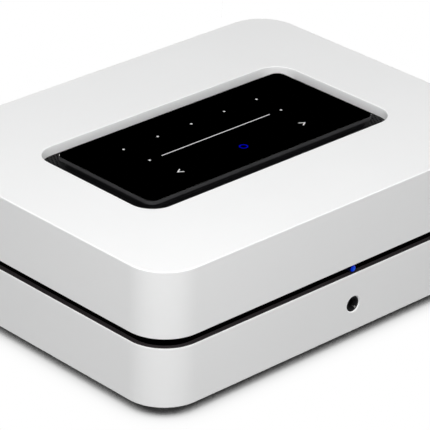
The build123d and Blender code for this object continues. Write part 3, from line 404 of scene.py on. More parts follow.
@dataclass(frozen=True)
class SolderMask(Finish):
    """Circuit board with tracks that show through its shiny green lacquer."""

    traits: Traits = {"Coat Weight": 0.5, "Coat Roughness": 0.2}
    tracks: Traits = {"Scale": 1.0, "Brick Width": 0.018, "Row Height": 0.0021, "Mortar Size": 0.00028}

    def tone(self, surface: Surface) -> None:
        """Draw tracks and pads under the lacquer."""
        colours = {
            "Color1": (*self.tinted(-0.3), 1.0),
            "Color2": (*self.colour, 1.0),
            "Mortar": (*self.tinted(1.6), 1.0),
        }
        inputs = {"Vector": surface.place, **self.tracks, **colours}
        surface.put("Base Color", surface.add("ShaderNodeTexBrick", inputs))


WHITE = SatinPaint("white_paint", (0.86, 0.862, 0.862), 0.42, 0.006, 0.05, 0.0011, 0.00002, 0.12)
BLACK = Moulded("black_plastic", (0.012, 0.012, 0.013), 0.45, 0.12, 0.01, 0.0005, 0.00002, 0.3)
# The frame's finish paints shade on the wall over its ledge.
LEDGE = SteppedFrame(
    "ledge_plastic", (0.038, 0.033, 0.0345), 0.5, 0.06, 0.01, 0.0006, 0.00002, 0.25, slot="black_plastic"
)
PLATE = MattPlate("black_plate", (0.006, 0.006, 0.0065), 0.42, 0.1, 0.015, 0.0007, 0.00002, 0.3)
PANEL = Finish("panel_paint", (0.02, 0.02, 0.021), 0.42, 0.1, 0.015, 0.0007, 0.00002, 0.3, slot="black_plate")
RUBBER = Finish("foot_rubber", (0.028, 0.028, 0.029), 0.85, 0.15, 0.004, 0.0004, 0.00006, 0.5)
ZINC = Metal("zinc_steel", (0.56, 0.57, 0.6), 0.32, 0.08, 0.003, 0.0003, 0.00001, 0.25)
NICKEL = Metal("nickel", (0.68, 0.66, 0.62), 0.24, 0.05, 0.006, 0.0003, 0.00001, 0.2, Axis.Y)
# Painted shade: nickel darkened nearly to black for the sleeve deep in the headphone socket, to stand for the
# shade in its bore.
SHADED_NICKEL = Metal(
    "shaded_nickel", (0.1, 0.097, 0.094), 0.5, 0.08, 0.004, 0.0003, 0.00001, 0.2, Axis.Y, slot="nickel"
)
BRIGHT_NICKEL = Metal(
    "bright_nickel", (0.97, 0.96, 0.95), 0.55, 0.03, 0.003, 0.0003, 0.00001, 0.1, slot="nickel"
)
GOLD = Metal("gold_plate", (0.83, 0.6, 0.25), 0.22, 0.05, 0.004, 0.0003, 0.00001, 0.15)
STUD = Threaded("gold_thread", (0.83, 0.6, 0.25), 0.25, 0.05, 0.004, 0.001, 0.00018, 0.6, slot="gold_plate")
BRASS = Metal("brass", (0.72, 0.53, 0.27), 0.3, 0.07, 0.004, 0.0004, 0.00001, 0.25, Axis.Z)
ALUMINIUM = Metal("bare_aluminium", (0.72, 0.73, 0.74), 0.34, 0.05, 0.01, 0.0003, 0.00001, 0.3, Axis.X)
GREY = Moulded("grey_plastic", (0.11, 0.11, 0.115), 0.5, 0.06, 0.006, 0.0005, 0.00002, 0.25)
RED = Resin("red_plastic", (0.42, 0.012, 0.014), 0.3, 0.08, 0.006, 0.0006, 0.00001, 0.2)
DARK_RESIN = Resin("dark_resin", (0.05, 0.03, 0.05), 0.15, 0.1, 0.004, 0.0006, 0.00001, 0.1, clearness=0.3)
GUIDE = Resin("guide_acrylic", (0.86, 0.88, 0.89), 0.45, 0.03, 0.01, 0.0005, 0.00002, 0.2, clearness=0.5)
LED = Resin("led_resin", (0.9, 0.88, 0.75), 0.3, 0.05, 0.002, 0.0004, 0.00001, 0.1, clearness=0.2)
INK = Finish("black_ink", (0.0008, 0.0008, 0.001), 0.6, 0.1, 0.02, 0.001, 0.00001, 0.1)
EDGE = Finish("glass_edge", (0.045, 0.045, 0.047), 0.35, 0.08, 0.008, 0.0004, 0.00001, 0.2, slot="black_ink")
GLASS = CoverGlass("cover_glass", (0.97, 0.98, 0.98), 0.04, 0.0, 0.03, 0.01, 0.000002, 0.05)
RIBBON = Finish("flat_cable", (0.72, 0.69, 0.58), 0.4, 0.05, 0.01, 0.0005, 0.00003, 0.5, Axis.Z)
BOARD = SolderMask("circuit_board", (0.008, 0.09, 0.04), 0.3, 0.1, 0.01, 0.0006, 0.00002, 0.3)
CHIP = Moulded("chip_black", (0.022, 0.022, 0.024), 0.6, 0.08, 0.003, 0.0002, 0.00001, 0.3)
COPPER = Wound("copper_wire", (0.62, 0.24, 0.09), 0.28, 0.1, 0.003, 0.0008, 0.0003, 0.8)
FERRITE = Finish("ferrite", (0.05, 0.05, 0.055), 0.7, 0.15, 0.005, 0.0004, 0.00004, 0.5)
CERAMIC = Finish("fuse_ceramic", (0.8, 0.78, 0.71), 0.35, 0.03, 0.004, 0.0004, 0.00001, 0.2)
SLEEVE = Finish("capacitor_sleeve", (0.025, 0.035, 0.08), 0.3, 0.08, 0.006, 0.0008, 0.00002, 0.2)
WHITE_GLOW = LitMark("white_glow", (0.8, 0.8, 0.8), 0.5, 0.02, 0.004, glow=0.95)
BLUE_GLOW = LitMark("blue_glow", (0.0, 0.0, 0.66), 0.5, 0.02, 0.004, core=(0.0, 0.003, 0.8))


def dress(finish: Finish, *names: str) -> None:
    """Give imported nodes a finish.

    Args:
        finish: The finish.
        names: The nodes.
    """
    for name in names:
        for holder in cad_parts[name].material_slots:
            holder.material = finish.material()
    log.info("dressed %s in %s", ", ".join(names), finish.name)


def in_scene(name: str, data: ID) -> Object:
    """Put a new object with the data in the scene, and return it."""
    made = bpy.data.objects.new(name, data)
    bpy.context.scene.collection.objects.link(made)
    return made


def add_piece(name: str, mesh: Mesh, finish: Finish, body: str, stands_for: Sequence[str] = ()) -> None:
    """Put a finished mesh in the scene.

    Args:
        name: The piece's name.
        mesh: Its mesh, in place.
        finish: Its finish.
        body: The body that it moves with.
        stands_for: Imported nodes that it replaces.
    """
    mesh.shade_smooth()
    mesh.set_sharp_from_angle(angle=SHARP_ANGLE)
    mesh.materials.clear()
    mesh.materials.append(finish.material())
    piece = in_scene(name, mesh)
    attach(piece, body)
    if stands_for:
        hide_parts(*stands_for)
    log.info("built %s: %d faces, on %s", name, len(mesh.polygons), body)


def mesh_of_rings(name: str, rings: Sequence[Sequence[Vector]], closed: bool) -> Mesh:
    """Join rings of points by strips of faces.

    Args:
        name: The mesh's name.
        rings: Rings with one count of points.
        closed: Whether the last ring joins the first. Otherwise both ends are capped.

    Returns:
        The mesh, with its faces pointing outwards.
    """
    shape = bmesh.new()
    made = [[shape.verts.new(point) for point in ring] for ring in rings]
    for first, second in zip(made, made[1:] + made[:1] if closed else made[1:]):
        for index in range(len(first)):
            after = (index + 1) % len(first)
            shape.faces.new((first[index], first[after], second[after], second[index]))
    if not closed:
        shape.faces.new(made[0])
        shape.faces.new(made[-1])
    bmesh.ops.recalc_face_normals(shape, faces=shape.faces)
    mesh = bpy.data.meshes.new(name)
    shape.to_mesh(mesh)
    shape.free()
    return mesh


def upright_loop(centre: Vector, reaches: Sequence[float]) -> list[Vector]:
    """Return points round an axis along Y.

    Args:
        centre: Where the axis meets the points' level.
        reaches: The distance of each point from the axis.

    Returns:
        The points.
    """
    points = []
    for index, reach in enumerate(reaches):
        angle = math.tau * index / len(reaches)
        x, z = centre.x + reach * math.cos(angle), centre.z + reach * math.sin(angle)
        points.append(Vector((x, centre.y, z)))
    return points


def turned(
    name: str, centre: Vector, stations: Iterable[tuple[float, ...]], segments: int = 64, flutes: int = 0
) -> Mesh:
    """Turn a closed section about an axis along Y.

    Args:
        name: The mesh's name.
        centre: A point on the axis.
        stations: Y, radius and, where it has flutes, their depth, round the section.
        segments: Points round the axis.
        flutes: Count of flutes.

    Returns:
        The mesh.
    """
    rings = []
    for along, radius, *depth in stations:
        waves = (math.cos(flutes * math.tau * index / segments) for index in range(segments))
        cut = depth[0] if depth else 0.0
        reaches = [radius - cut * (0.5 + 0.5 * wave) ** 2 for wave in waves]
        rings.append(upright_loop(Vector((centre.x, along, centre.z)), reaches))
    return mesh_of_rings(name, rings, closed=True)


def rounded_loop(middle: Vector, width: float, depth: float, radius: float, steps: int = 12) -> list[Vector]:
    """Return the points of a level rounded rectangle.

    Args:
        middle: Its middle.
        width: Its size along X.
        depth: Its size along Y.
        radius: Its corner radius.
        steps: Points on each corner, less one.

    Returns:
        The points, anticlockwise.
    """
    points = []
    for corner, (side, end) in enumerate(((1, 1), (-1, 1), (-1, -1), (1, -1))):
        for step in range(steps + 1):
            angle = math.pi / 2 * (corner + step / steps)
            x = middle.x + side * (width / 2 - radius) + radius * math.cos(angle)
            y = middle.y + end * (depth / 2 - radius) + radius * math.sin(angle)
            points.append(Vector((x, y, middle.z)))
    return points


def rounded_band(
    name: str, middle: Vector, size: Triple, corners: Pairs
) -> Mesh:
    """Run a closed section round a level rounded rectangle.

    Args:
        name: The mesh's name.
        middle: The rectangle's middle.
        size: Its width, depth and corner radius.
        corners: Height of each corner of the section, and how much wider the rectangle is there.

    Returns:
        The mesh.
    """
    rings = []
    for height, grow in corners:
        level = Vector((middle.x, middle.y, height))
        rings.append(rounded_loop(level, size[0] + grow, size[1] + grow, size[2] + grow / 2))
    return mesh_of_rings(name, rings, closed=True)


class Recipe(Wiring):
    """A Geometry Nodes tree with named sizes, run once and kept as a plain mesh."""

    def __init__(self, name: str) -> None:
        """Start an empty tree."""
        super().__init__(bpy.data.node_groups.new(name, "GeometryNodeTree"))
        self.name = name
        self.tree.interface.new_socket("Geometry", in_out="OUTPUT", socket_type="NodeSocketGeometry")
        self.entry = self.add("NodeGroupInput")

    def sizes(self, kind: str, *names: str) -> list[Socket]:
        """Add named inputs of one kind of socket, and return the sockets that give their values."""
        for name in names:
            self.tree.interface.new_socket(name, in_out="INPUT", socket_type=f"NodeSocket{kind}")
        return [self.entry.outputs[name] for name in names]

    def close(self, *shapes: Wire) -> None:
        """End the tree: join the shapes, realize them and set their material."""
        real = self.add("GeometryNodeRealizeInstances", {"Geometry": self.joined(*shapes)})
        (material,) = self.sizes("Material", "Material")
        painted = self.add("GeometryNodeSetMaterial", {"Geometry": real, "Material": material})
        self.add("NodeGroupOutput", {"Geometry": painted})

    def mesh(self, values: dict[str, Wire]) -> Mesh:
        """Run the tree.

        Args:
            values: The value of each input, by name.

        Returns:
            The result as a plain mesh.
        """
        carrier = in_scene(self.name, bpy.data.meshes.new(self.name))
        modifier = carrier.modifiers.new(self.name, "NODES")
        modifier.node_group = self.tree
        for item in self.tree.interface.items_tree:
            if item.in_out == "INPUT":
                modifier[item.identifier] = values[item.name]
        graph = bpy.context.evaluated_depsgraph_get()
        made = bpy.data.meshes.new_from_object(carrier.evaluated_get(graph))
        carrier.modifiers.clear()
        bpy.data.objects.remove(carrier)
        made.name = self.name
        return made


@dataclass
class Assembly:
    """A group of pieces that is built and dressed together."""

    body: str = "casing"

    def build(self) -> None:
        """Build and dress the pieces."""
        raise NotImplementedError

    def ring(
        self, name: str, node: str, base: float, section: Pairs, finish: Finish, body: str = ""
    ) -> None:
        """Turn a section about a node's axis along Y.

        Args:
            name: The piece's name.
            node: The node whose middle is on the axis.
            base: The level along Y that the section is measured from.
            section: Level and radius of its corners, in millimetres.
            finish: The piece's finish.
            body: The body that it moves with, where that isn't the assembly's own.
        """
        low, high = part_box(node)
        stations = [(base + along * MM, radius * MM) for along, radius in section]
        add_piece(name, turned(name, (low + high) / 2, stations), finish, body or self.body)


@dataclass
class Case(Assembly):
    """The two painted shells, the black frame between them, the feet and the screws."""

    def build(self) -> None:
        """Dress the shells, the frame, the feet and the screws."""
        dress(WHITE, "bottom_shell", "top_shell")
        dress(LEDGE, "waist_frame")
        dress(RUBBER, "feet")
        dress(ZINC, "case_screws", "carrier_screws", "panel_screws")


@dataclass
class PerforatedPlate(Assembly):
    """The plate round the touch panel, with fine holes on a hexagonal grid."""

    pitch: float = 1.7 * MM
    hole_radius: float = 0.52 * MM
    sides: int = 12
    skirt: float = 2.0 * MM
    corner_radius: float = 11.2 * MM
    carrier_radius: float = 4.7 * MM
    carrier_gap: float = 0.2 * MM
    carrier_wall: float = 2.2 * MM
    outer_margin: float = 1.4
    inner_margin: float = 0.6
    lap: float = 0.1 * MM
    inset: float = 0.03 * MM

    def distance(self, recipe: Recipe, place: Wire, size: Wire, radius: Wire) -> Node:
        """Return how far a place lies outside a rounded rectangle's corner circles.

        Args:
            recipe: The tree.
            place: The place, from the plate's middle.
            size: Half the rectangle's size.
            radius: Its corner radius.

        Returns:
            The distance less the corner radius: negative inside.
        """
        core = recipe.vector("SUBTRACT", size, recipe.combine(radius, radius))
        past = recipe.vector("SUBTRACT", recipe.vector("ABSOLUTE", place), core)
        past = recipe.vector("MAXIMUM", past, (0.0, 0.0, 0.0))
        flat = recipe.vector("MULTIPLY", past, (1.0, 1.0, 0.0))
        return recipe.math("SUBTRACT", recipe.vector("LENGTH", flat), radius)

    def tile(self, recipe: Recipe, pitch: Wire, hole: Wire, thickness: Wire, holed: bool) -> Node:
        """Make one hexagon of the plate.

        Args:
            recipe: The tree.
            pitch: Distance between holes.
            hole: Radius of the hole.
            thickness: The plate's thickness.
            holed: Whether the hexagon has a hole.

        Returns:
            The hexagon's node.
        """
        rim = recipe.circle(6, recipe.math("DIVIDE", pitch, ROOT_3))
        turn = {"Geometry": rim, "Rotation": (0.0, 0.0, math.pi / 6)}
        outline = [recipe.add("GeometryNodeTransform", turn)]
        parts = []
        if holed:
            outline.append(recipe.circle(self.sides, hole))
            inputs = {"Vertices": self.sides, "Radius": hole, "Depth": thickness}
            wall = recipe.add("GeometryNodeMeshCylinder", inputs, fill_type="NONE")
            inward = recipe.add("GeometryNodeFlipFaces", {"Mesh": wall})
            half = recipe.math("MULTIPLY", thickness, -0.5)
            parts.append(recipe.moved(inward, recipe.combine(0.0, 0.0, half)))
        face = recipe.add("GeometryNodeFillCurve", {"Curve": recipe.joined(*outline)})
        under = recipe.add("GeometryNodeFlipFaces", {"Mesh": face})
        drop = recipe.combine(0.0, 0.0, recipe.math("MULTIPLY", thickness, -1.0))
        return recipe.joined(face, recipe.moved(under, drop), *parts)

    def recipe(self) -> Recipe:
        """Return the tree that lays out the hexagons between two outlines."""
        recipe = Recipe("perforated_plate")
        middle, outer, inner = recipe.sizes("Vector", "Middle", "Recess half size", "Carrier half size")
        outer_radius, inner_radius = recipe.sizes("Float", "Recess radius", "Carrier radius")
        pitch, hole, thickness, margin = recipe.sizes("Float", "Pitch", "Hole radius", "Thickness", "Margin")
        columns, rows = recipe.sizes("Int", "Columns", "Rows")
        row_pitch = recipe.math("MULTIPLY", pitch, ROOT_3 / 2)
        across = recipe.math("MULTIPLY", pitch, recipe.math("SUBTRACT", columns, 1.0))
        along = recipe.math("MULTIPLY", row_pitch, recipe.math("SUBTRACT", rows, 1.0))
        grid = recipe.grid(across, along, columns, rows)
        place = recipe.add("GeometryNodeInputPosition")
        level = recipe.add("ShaderNodeSeparateXYZ", {0: place}).outputs["Y"]
        number = recipe.math("ROUND", recipe.math("DIVIDE", level, row_pitch))
        odd = recipe.math("FLOORED_MODULO", number, 2.0)
        shift = recipe.combine(recipe.math("MULTIPLY", recipe.math("MULTIPLY", odd, 0.5), pitch))
        grid = recipe.add("GeometryNodeSetPosition", {"Geometry": grid, "Offset": shift})
        past_outer = self.distance(recipe, place, outer, outer_radius)
        past_inner = self.distance(recipe, place, inner, inner_radius)
        inside = recipe.math("LESS_THAN", past_outer, recipe.math("MULTIPLY", hole, -self.outer_margin))
        holed = recipe.math("MULTIPLY", inside, recipe.math("GREATER_THAN", past_inner, margin))
        inside = recipe.math("LESS_THAN", past_outer, pitch)
        outside = recipe.math("GREATER_THAN", past_inner, recipe.math("MULTIPLY", pitch, self.inner_margin))
        kept = recipe.math("MULTIPLY", inside, outside)
        plain = recipe.math("SUBTRACT", kept, holed)
        shapes = []
        for chosen, is_holed in ((holed, True), (plain, False)):
            tile = self.tile(recipe, pitch, hole, thickness, is_holed)
            laid = recipe.laid(grid, tile, Selection=recipe.math("GREATER_THAN", chosen, 0.5))
            shapes.append(recipe.moved(laid, middle))
        recipe.close(*shapes)
        return recipe

    def build(self) -> None:
        """Build the plate and its two plain borders."""
        low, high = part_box("vent_mesh")
        carrier_low, carrier_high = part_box("light_guide")
        middle = Vector(((low.x + high.x) / 2, (low.y + high.y) / 2, high.z))
        width = high.x - low.x - 2 * self.skirt
        depth = high.y - low.y - 2 * self.skirt
        wall = self.carrier_wall + self.carrier_gap
        inner_width = carrier_high.x - carrier_low.x + 2 * wall
        inner_depth = carrier_high.y - carrier_low.y + 2 * wall
        row_pitch = self.pitch * ROOT_3 / 2
        margin = 2 * self.pitch / ROOT_3 + self.hole_radius
        values = {
            "Middle": middle,
            "Recess half size": (width / 2, depth / 2, 0.0),
            "Recess radius": self.corner_radius,
            "Carrier half size": (inner_width / 2, inner_depth / 2, 0.0),
            "Carrier radius": self.carrier_radius,
            "Pitch": self.pitch,
            "Hole radius": self.hole_radius,
            "Thickness": high.z - low.z,
            "Margin": margin,
            "Columns": 2 * int(width / 2 / self.pitch) + 3,
            "Rows": 2 * int(depth / 2 / row_pitch) + 3,
            "Material": PLATE.material(),
        }
        add_piece("perforated_plate", self.recipe().mesh(values), PLATE, self.body, ["vent_mesh"])
        top = high.z - self.inset
        floor = low.z + self.inset
        inner_step = 2 * (margin - self.hole_radius)
        for name, size, step in (
            ("plate_outer_border", (width, depth, self.corner_radius), 2 * self.skirt - self.lap),
            ("plate_inner_border", (inner_width, inner_depth, self.carrier_radius), inner_step),
        ):
            band = rounded_band(name, middle, size, ((top, 0.0), (top, step), (floor, step), (floor, 0.0)))
            add_piece(name, band, PLATE, self.body)


@dataclass
class TouchPanel(Assembly):
    """The cover glass with its lit marks, and what lies under it."""

    edge: float = 0.04 * MM
    bevel: float = 0.2 * MM
    corner_radius: float = 4.5 * MM

    def build(self) -> None:
        """Dress the panel's layers and give the glass its ground edge."""
        dress(GLASS, "touch_glass")
        dress(INK, "mask_sheet")
        dress(WHITE_GLOW, "white_marks")
        dress(BLUE_GLOW, "ring_mark")
        dress(BLACK, "glass_carrier")
        dress(GUIDE, "light_guide")
        dress(BOARD, "touch_board")
        dress(LED, "indicator_leds")
        dress(RIBBON, "touch_cable")
        low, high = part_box("touch_glass")
        shoulder = high.z - self.bevel
        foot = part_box("mask_sheet")[0].z
        lip = 2 * self.edge
        size = (high.x - low.x, high.y - low.y, self.corner_radius)
        corners = ((shoulder, 0.0), (shoulder, lip), (foot, lip), (foot, 0.0))
        add_piece("glass_edge", rounded_band("glass_edge", (low + high) / 2, size, corners), EDGE, self.body)


@dataclass
class FrontFittings(Assembly):
    """The headphone socket, the status lamp and the board. The contact's path is in millimetres."""

    lamp_colour: Colour = (0.0, 0.02, 0.48)
    lamp_core: Colour = (0.012, 0.11, 0.52)
    lamp_roughness: float = 0.4
    contact_angle: float = -54.0
    contact_sides: int = 16
    contact_path: tuple[Triple, ...] = (
        (1.8, 2.4, 0.12), (0.9, 2.4, 0.12), (0.7, 2.35, 0.16), (0.5, 2.28, 0.32),
        (0.3, 2.22, 0.44), (0.1, 2.2, 0.48), (-0.1, 2.2, 0.45), (-0.24, 2.2, 0.34),
        (-0.32, 2.2, 0.2), (-0.35, 2.2, 0.07),
    )

    def contact(self, mouth: Vector) -> Mesh:
        """Make the sprung contact whose rounded tip shows in the socket's mouth.

        Args:
            mouth: The middle of the socket's front face.

        Returns:
            The mesh.
        """
        way = math.radians(self.contact_angle)
        rings = []
        for along, reach, radius in self.contact_path:
            centre = mouth + Vector((reach * math.cos(way), along, reach * math.sin(way))) * MM
            rings.append(upright_loop(centre, [radius * MM] * self.contact_sides))
        return mesh_of_rings("headphone_contact", rings, closed=False)

    def build(self) -> None:
        """Dress the fittings and add the sprung contact."""
        dress(BLACK, "headphone_jack")
        # The sleeve's darkened nickel is painted shade for the inside of the socket's bore.
        dress(SHADED_NICKEL, "headphone_sleeve")
        dress(BOARD, "front_board")
        dress(DARK_RESIN, "infrared_receiver")
        low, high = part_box("status_lamp")
        face = ((low.x + high.x) / 2, low.y, (low.z + high.z) / 2)
        reach = (high.z - low.z) / 2
        look = ("blue_lamp", self.lamp_colour, self.lamp_roughness)
        dress(LampTip(*look, core=self.lamp_core, middle=face, reach=reach), "status_lamp")
        low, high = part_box("headphone_sleeve")
        mouth = Vector(((low.x + high.x) / 2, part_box("headphone_jack")[0].y, (low.z + high.z) / 2))
        add_piece("headphone_contact", self.contact(mouth), BRIGHT_NICKEL, self.body)


@dataclass(frozen=True)
class ContactRow:
    """A row of gold contact wires along X in a socket. Lengths are in millimetres."""

    socket: str
    count: int
    pitch: float
    thickness: float
    inset: float
    drop: float
    run: float
    rise: float

    def values(self) -> dict[str, Wire]:
        """Return the values for the inputs of the tree that draws the row."""
        low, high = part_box(f"{self.socket}_socket")
        first = (low.x + high.x) / 2 - (self.count - 1) / 2 * self.pitch * MM
        return {
            "Start": (first, high.y - self.inset * MM, high.z - self.drop * MM),
            "End": (first, high.y - (self.inset + self.run) * MM, high.z - (self.drop + self.rise) * MM),
            "Pitch": self.pitch * MM,
            "Count": self.count,
            "Thickness": self.thickness * MM,
            "Material": GOLD.material(),
        }


@dataclass(frozen=True)
class Tongue:
    """The dark plastic round a socket's tongue. Lengths are in millimetres."""

    socket: str
    width: float
    foot: float
    top: float
    reach: float
    recess: float = 1.0
    skin: float = 0.05
    bevel: float = 0.12

    def mesh(self) -> Mesh:
        """Return the block that covers the tongue, with bevelled edges."""
        low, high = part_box(f"{self.socket}_socket")
        middle = (low.x + high.x) / 2
        half = (self.width / 2 + self.skin) * MM
        foot = low.z + (self.foot - self.skin) * MM
        top = low.z + (self.top + self.skin) * MM
        rings = []
        left, right = middle - half, middle + half
        for level in (high.y - (self.reach + self.recess) * MM, high.y + (self.skin - self.recess) * MM):
            corners = ((left, foot), (right, foot), (right, top), (left, top))
            rings.append([Vector((x, level, z)) for x, z in corners])
        mesh = mesh_of_rings(f"{self.socket}_tongue", rings, closed=False)
        shape = bmesh.new()
        shape.from_mesh(mesh)
        bmesh.ops.bevel(shape, geom=shape.edges, offset=self.bevel * MM, segments=2, affect="EDGES")
        bmesh.ops.recalc_face_normals(shape, faces=shape.faces)
        shape.to_mesh(mesh)
        shape.free()
        return mesh


@dataclass
class RearSockets(Assembly):
    """The sockets, the reset button and the mains inlet in the rear panel. Sections are in millimetres."""

    rows: tuple[ContactRow, ...] = (
        ContactRow("network", 8, 1.02, 0.16, inset=1.5, drop=3.0, run=8.0, rise=2.2),
        ContactRow("usb", 4, 2.5, 0.3, inset=2.0, drop=4.05, run=7.0, rise=0.0),
        ContactRow("hdmi", 10, 1.0, 0.14, inset=1.8, drop=2.6, run=6.0, rise=0.0),
    )
    tongues: tuple[Tongue, ...] = (
        Tongue("usb", 11.0, foot=3.35, top=5.15, reach=9.0),
        Tongue("hdmi", 11.2, foot=2.5, top=3.9, reach=7.5),
    )
    wire_sides: int = 8
    collar: Pairs = ((0.8, 4.2), (0.8, 5.3), (1.3, 5.3), (1.6, 5.0), (1.6, 4.2))
    insulator: Pairs = ((-0.05, 1.66), (-0.05, 3.3), (0.07, 3.2), (0.07, 1.8))
    bezel: Pairs = ((-0.6, 1.81), (-0.6, 2.3), (0.1, 2.3), (0.15, 2.2), (0.15, 1.81))

    def contacts(self) -> Recipe:
        """Return the tree that draws a row of contact wires."""
        recipe = Recipe("contact_row")
        start, end = recipe.sizes("Vector", "Start", "End")
        pitch, radius = recipe.sizes("Float", "Pitch", "Thickness")
        (count,) = recipe.sizes("Int", "Count")
        inputs = {"Count": count, "Start Location": start, "Offset": recipe.combine(pitch)}
        wires = recipe.add("GeometryNodeMeshLine", inputs)
        way = recipe.vector("SUBTRACT", end, start)
        run = recipe.add("GeometryNodeCurvePrimitiveLine", {"Start": (0.0, 0.0, 0.0), "End": way})
        section = recipe.circle(self.wire_sides, radius)
        inputs = {"Curve": run, "Profile Curve": section, "Fill Caps": True}
        recipe.close(recipe.laid(wires, recipe.add("GeometryNodeCurveToMesh", inputs)))
        return recipe

    def build(self) -> None:
        """Dress the sockets and add their contacts, tongues and coloured rings."""
        dress(PANEL, "rear_panel")
        dress(BLACK, "network_socket", "optical_socket", "line_in_socket", "mains_inlet", "reset_switch")
        dress(NICKEL, "usb_socket", "hdmi_socket", "subwoofer_socket", "mains_pins")
        dress(GREY, "optical_shutter", "reset_button")
        recipe = self.contacts()
        for row in self.rows:
            add_piece(f"{row.socket}_contacts", recipe.mesh(row.values()), GOLD, self.body)
        for tongue in self.tongues:
            add_piece(f"{tongue.socket}_tongue", tongue.mesh(), BLACK, self.body)
        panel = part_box("rear_panel")[1].y
        subwoofer = "subwoofer_socket"
        self.ring("subwoofer_ring", subwoofer, panel, self.collar, RED)
        self.ring("subwoofer_insulator", subwoofer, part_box(subwoofer)[1].y, self.insulator, BLACK)
        self.ring("line_in_bezel", "line_in_socket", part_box("line_in_socket")[1].y, self.bezel, NICKEL)


@dataclass
class SpeakerTerminals(Assembly):
    """Four binding posts with fluted nuts, threaded studs and clamp washers. Sections are in millimetres."""

    count: int = 4
    flutes: int = 14
    segments: int = 168
    flute_depth: float = 0.6 * MM
    bore: float = 3.06 * MM
    end_inset: float = 0.1 * MM
    nut_base: tuple[Triple, ...] = (
        (0.0, -0.3, 0.0), (0.3, 0.0, 0.0), (2.0, 0.0, 0.0), (2.3, -0.25, 0.0),
        (2.8, -0.25, 0.2), (3.2, -0.02, 1.0),
    )
    nut_end: tuple[Triple, ...] = (
        (-1.4, -0.02, 1.0), (-0.7, -0.2, 0.9), (-0.2, -0.7, 0.6), (0.0, -1.3, 0.0),
    )
    nut_mouth: Pairs = ((0.0, 4.1), (-0.4, 3.9), (-0.4, 2.52), (-1.4, 2.52), (-1.4, 3.06))
    insert: Pairs = ((-0.4, 2.5), (-0.4, 3.5), (0.0, 3.4), (0.08, 3.2), (0.08, 2.6), (0.0, 2.5))
    collar: Pairs = ((-0.1, 4.95), (-0.1, 7.9), (0.35, 7.9), (0.6, 7.6), (0.6, 4.95))

    def nut(self, number: int) -> None:
        """Build one fluted nut with its metal mouth.

        Args:
            number: The nut's number, from 1.
        """
        name = f"thumb_nut_{number}"
        low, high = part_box(name)
        radius = (high.x - low.x) / 2
        end = high.y - self.end_inset
        stations = [(low.y, self.bore, 0.0)]
        for level, rows in ((low.y, self.nut_base), (end, self.nut_end)):
            for along, out, share in rows:
                stations.append((level + along * MM, radius + out * MM, self.flute_depth * share))
        stations += [(end + along * MM, reach * MM, 0.0) for along, reach in self.nut_mouth]
        title = f"fluted_nut_{number}"
        mesh = turned(title, (low + high) / 2, stations, self.segments, self.flutes)
        add_piece(title, mesh, RED if number % 2 else BLACK, name, [name])
        self.ring(f"nut_insert_{number}", name, end, self.insert, GOLD, name)

    def build(self) -> None:
        """Dress the studs, build the nuts and lay a coloured ring under each."""
        dress(BLACK, "terminal_block")
        dress(STUD, "terminal_studs")
        dress(BOARD, "speaker_board")
        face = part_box("terminal_block")[1].y
        for number in range(1, self.count + 1):
            dress(GOLD, f"clamp_washer_{number}")
            self.nut(number)
            finish = RED if number % 2 else GREY
            self.ring(f"terminal_ring_{number}", f"thumb_nut_{number}", face, self.collar, finish)


@dataclass
class Electronics(Assembly):
    """The boards inside, with a field of small parts on the main board."""

    seed: int = 7
    part: Triple = (1.6 * MM, 0.8 * MM, 0.6 * MM)
    field: tuple[float, float] = (0.03, 0.015)
    offset: tuple[float, float] = (-0.016, 0.001)
    columns: int = 12
    rows: int = 7
    missing: float = 0.45
    lengthwise: float = 0.75

    def small_parts(self) -> Recipe:
        """Return the tree that scatters small parts on a grid."""
        recipe = Recipe("small_parts")
        columns, rows, seed = recipe.sizes("Int", "Columns", "Rows", "Seed")
        part, middle = recipe.sizes("Vector", "Part", "Middle")
        grid = recipe.grid(*recipe.sizes("Float", "Width", "Depth"), columns, rows)
        chance = recipe.add("FunctionNodeRandomValue", {"Seed": seed}, data_type="FLOAT").outputs[1]
        quarter = recipe.math("MULTIPLY", recipe.math("GREATER_THAN", chance, self.lengthwise), math.pi / 2)
        block = recipe.add("GeometryNodeMeshCube", {"Size": part})
        kept = recipe.math("GREATER_THAN", chance, self.missing)
        turn = recipe.combine(0.0, 0.0, quarter)
        laid = recipe.laid(grid, block, Selection=kept, Rotation=turn)
        recipe.close(recipe.moved(laid, middle))
        return recipe

    def build(self) -> None:
        """Dress the electronics and scatter the small parts."""
        dress(BOARD, "main_board", "power_board")
        dress(BRASS, "standoffs")
        dress(ZINC, "board_screws")
        dress(NICKEL, "processor_shield", "wireless_module")
        dress(BLACK, "antennas", "power_lead")
        dress(CHIP, "amplifier_chips")
        dress(ALUMINIUM, "heat_sink")
        dress(COPPER, "output_chokes", "transformer_winding")
        dress(FERRITE, "transformer_core")
        dress(SLEEVE, "bulk_capacitors")
        dress(CERAMIC, "fuse")
        shield_low, shield_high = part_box("processor_shield")
        across = (shield_high.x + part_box("heat_sink")[1].x) / 2 + self.offset[0]
        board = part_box("main_board")[1].z
        values = {
            "Width": self.field[0],
            "Depth": self.field[1],
            "Columns": self.columns,
            "Rows": self.rows,
            "Seed": self.seed,
            "Part": self.part,
            "Middle": (across, shield_low.y + self.offset[1], board + self.part[2] / 2),
            "Material": CHIP.material(),
        }
        add_piece("small_parts", self.small_parts().mesh(values), CHIP, self.body)


@dataclass(frozen=True)
class SoftBox:
    """A soft studio light that points at the amplifier. Power is in watts."""

    name: str
    place: Triple
    width: float
    height: float
    power: float
    mirrored: bool = False

    def build(self, aim: Vector) -> None:
        """Hang the light.

        Args:
            aim: The point that it faces.
        """
        data = bpy.data.lights.new(self.name, "AREA")
        data.shape = "RECTANGLE"
        data.size, data.size_y, data.energy = self.width, self.height, self.power
        light = in_scene(self.name, data)
        light.location = self.place
        light.rotation_euler = (aim - Vector(self.place)).to_track_quat("-Z", "Y").to_euler()
        light.visible_glossy = self.mirrored


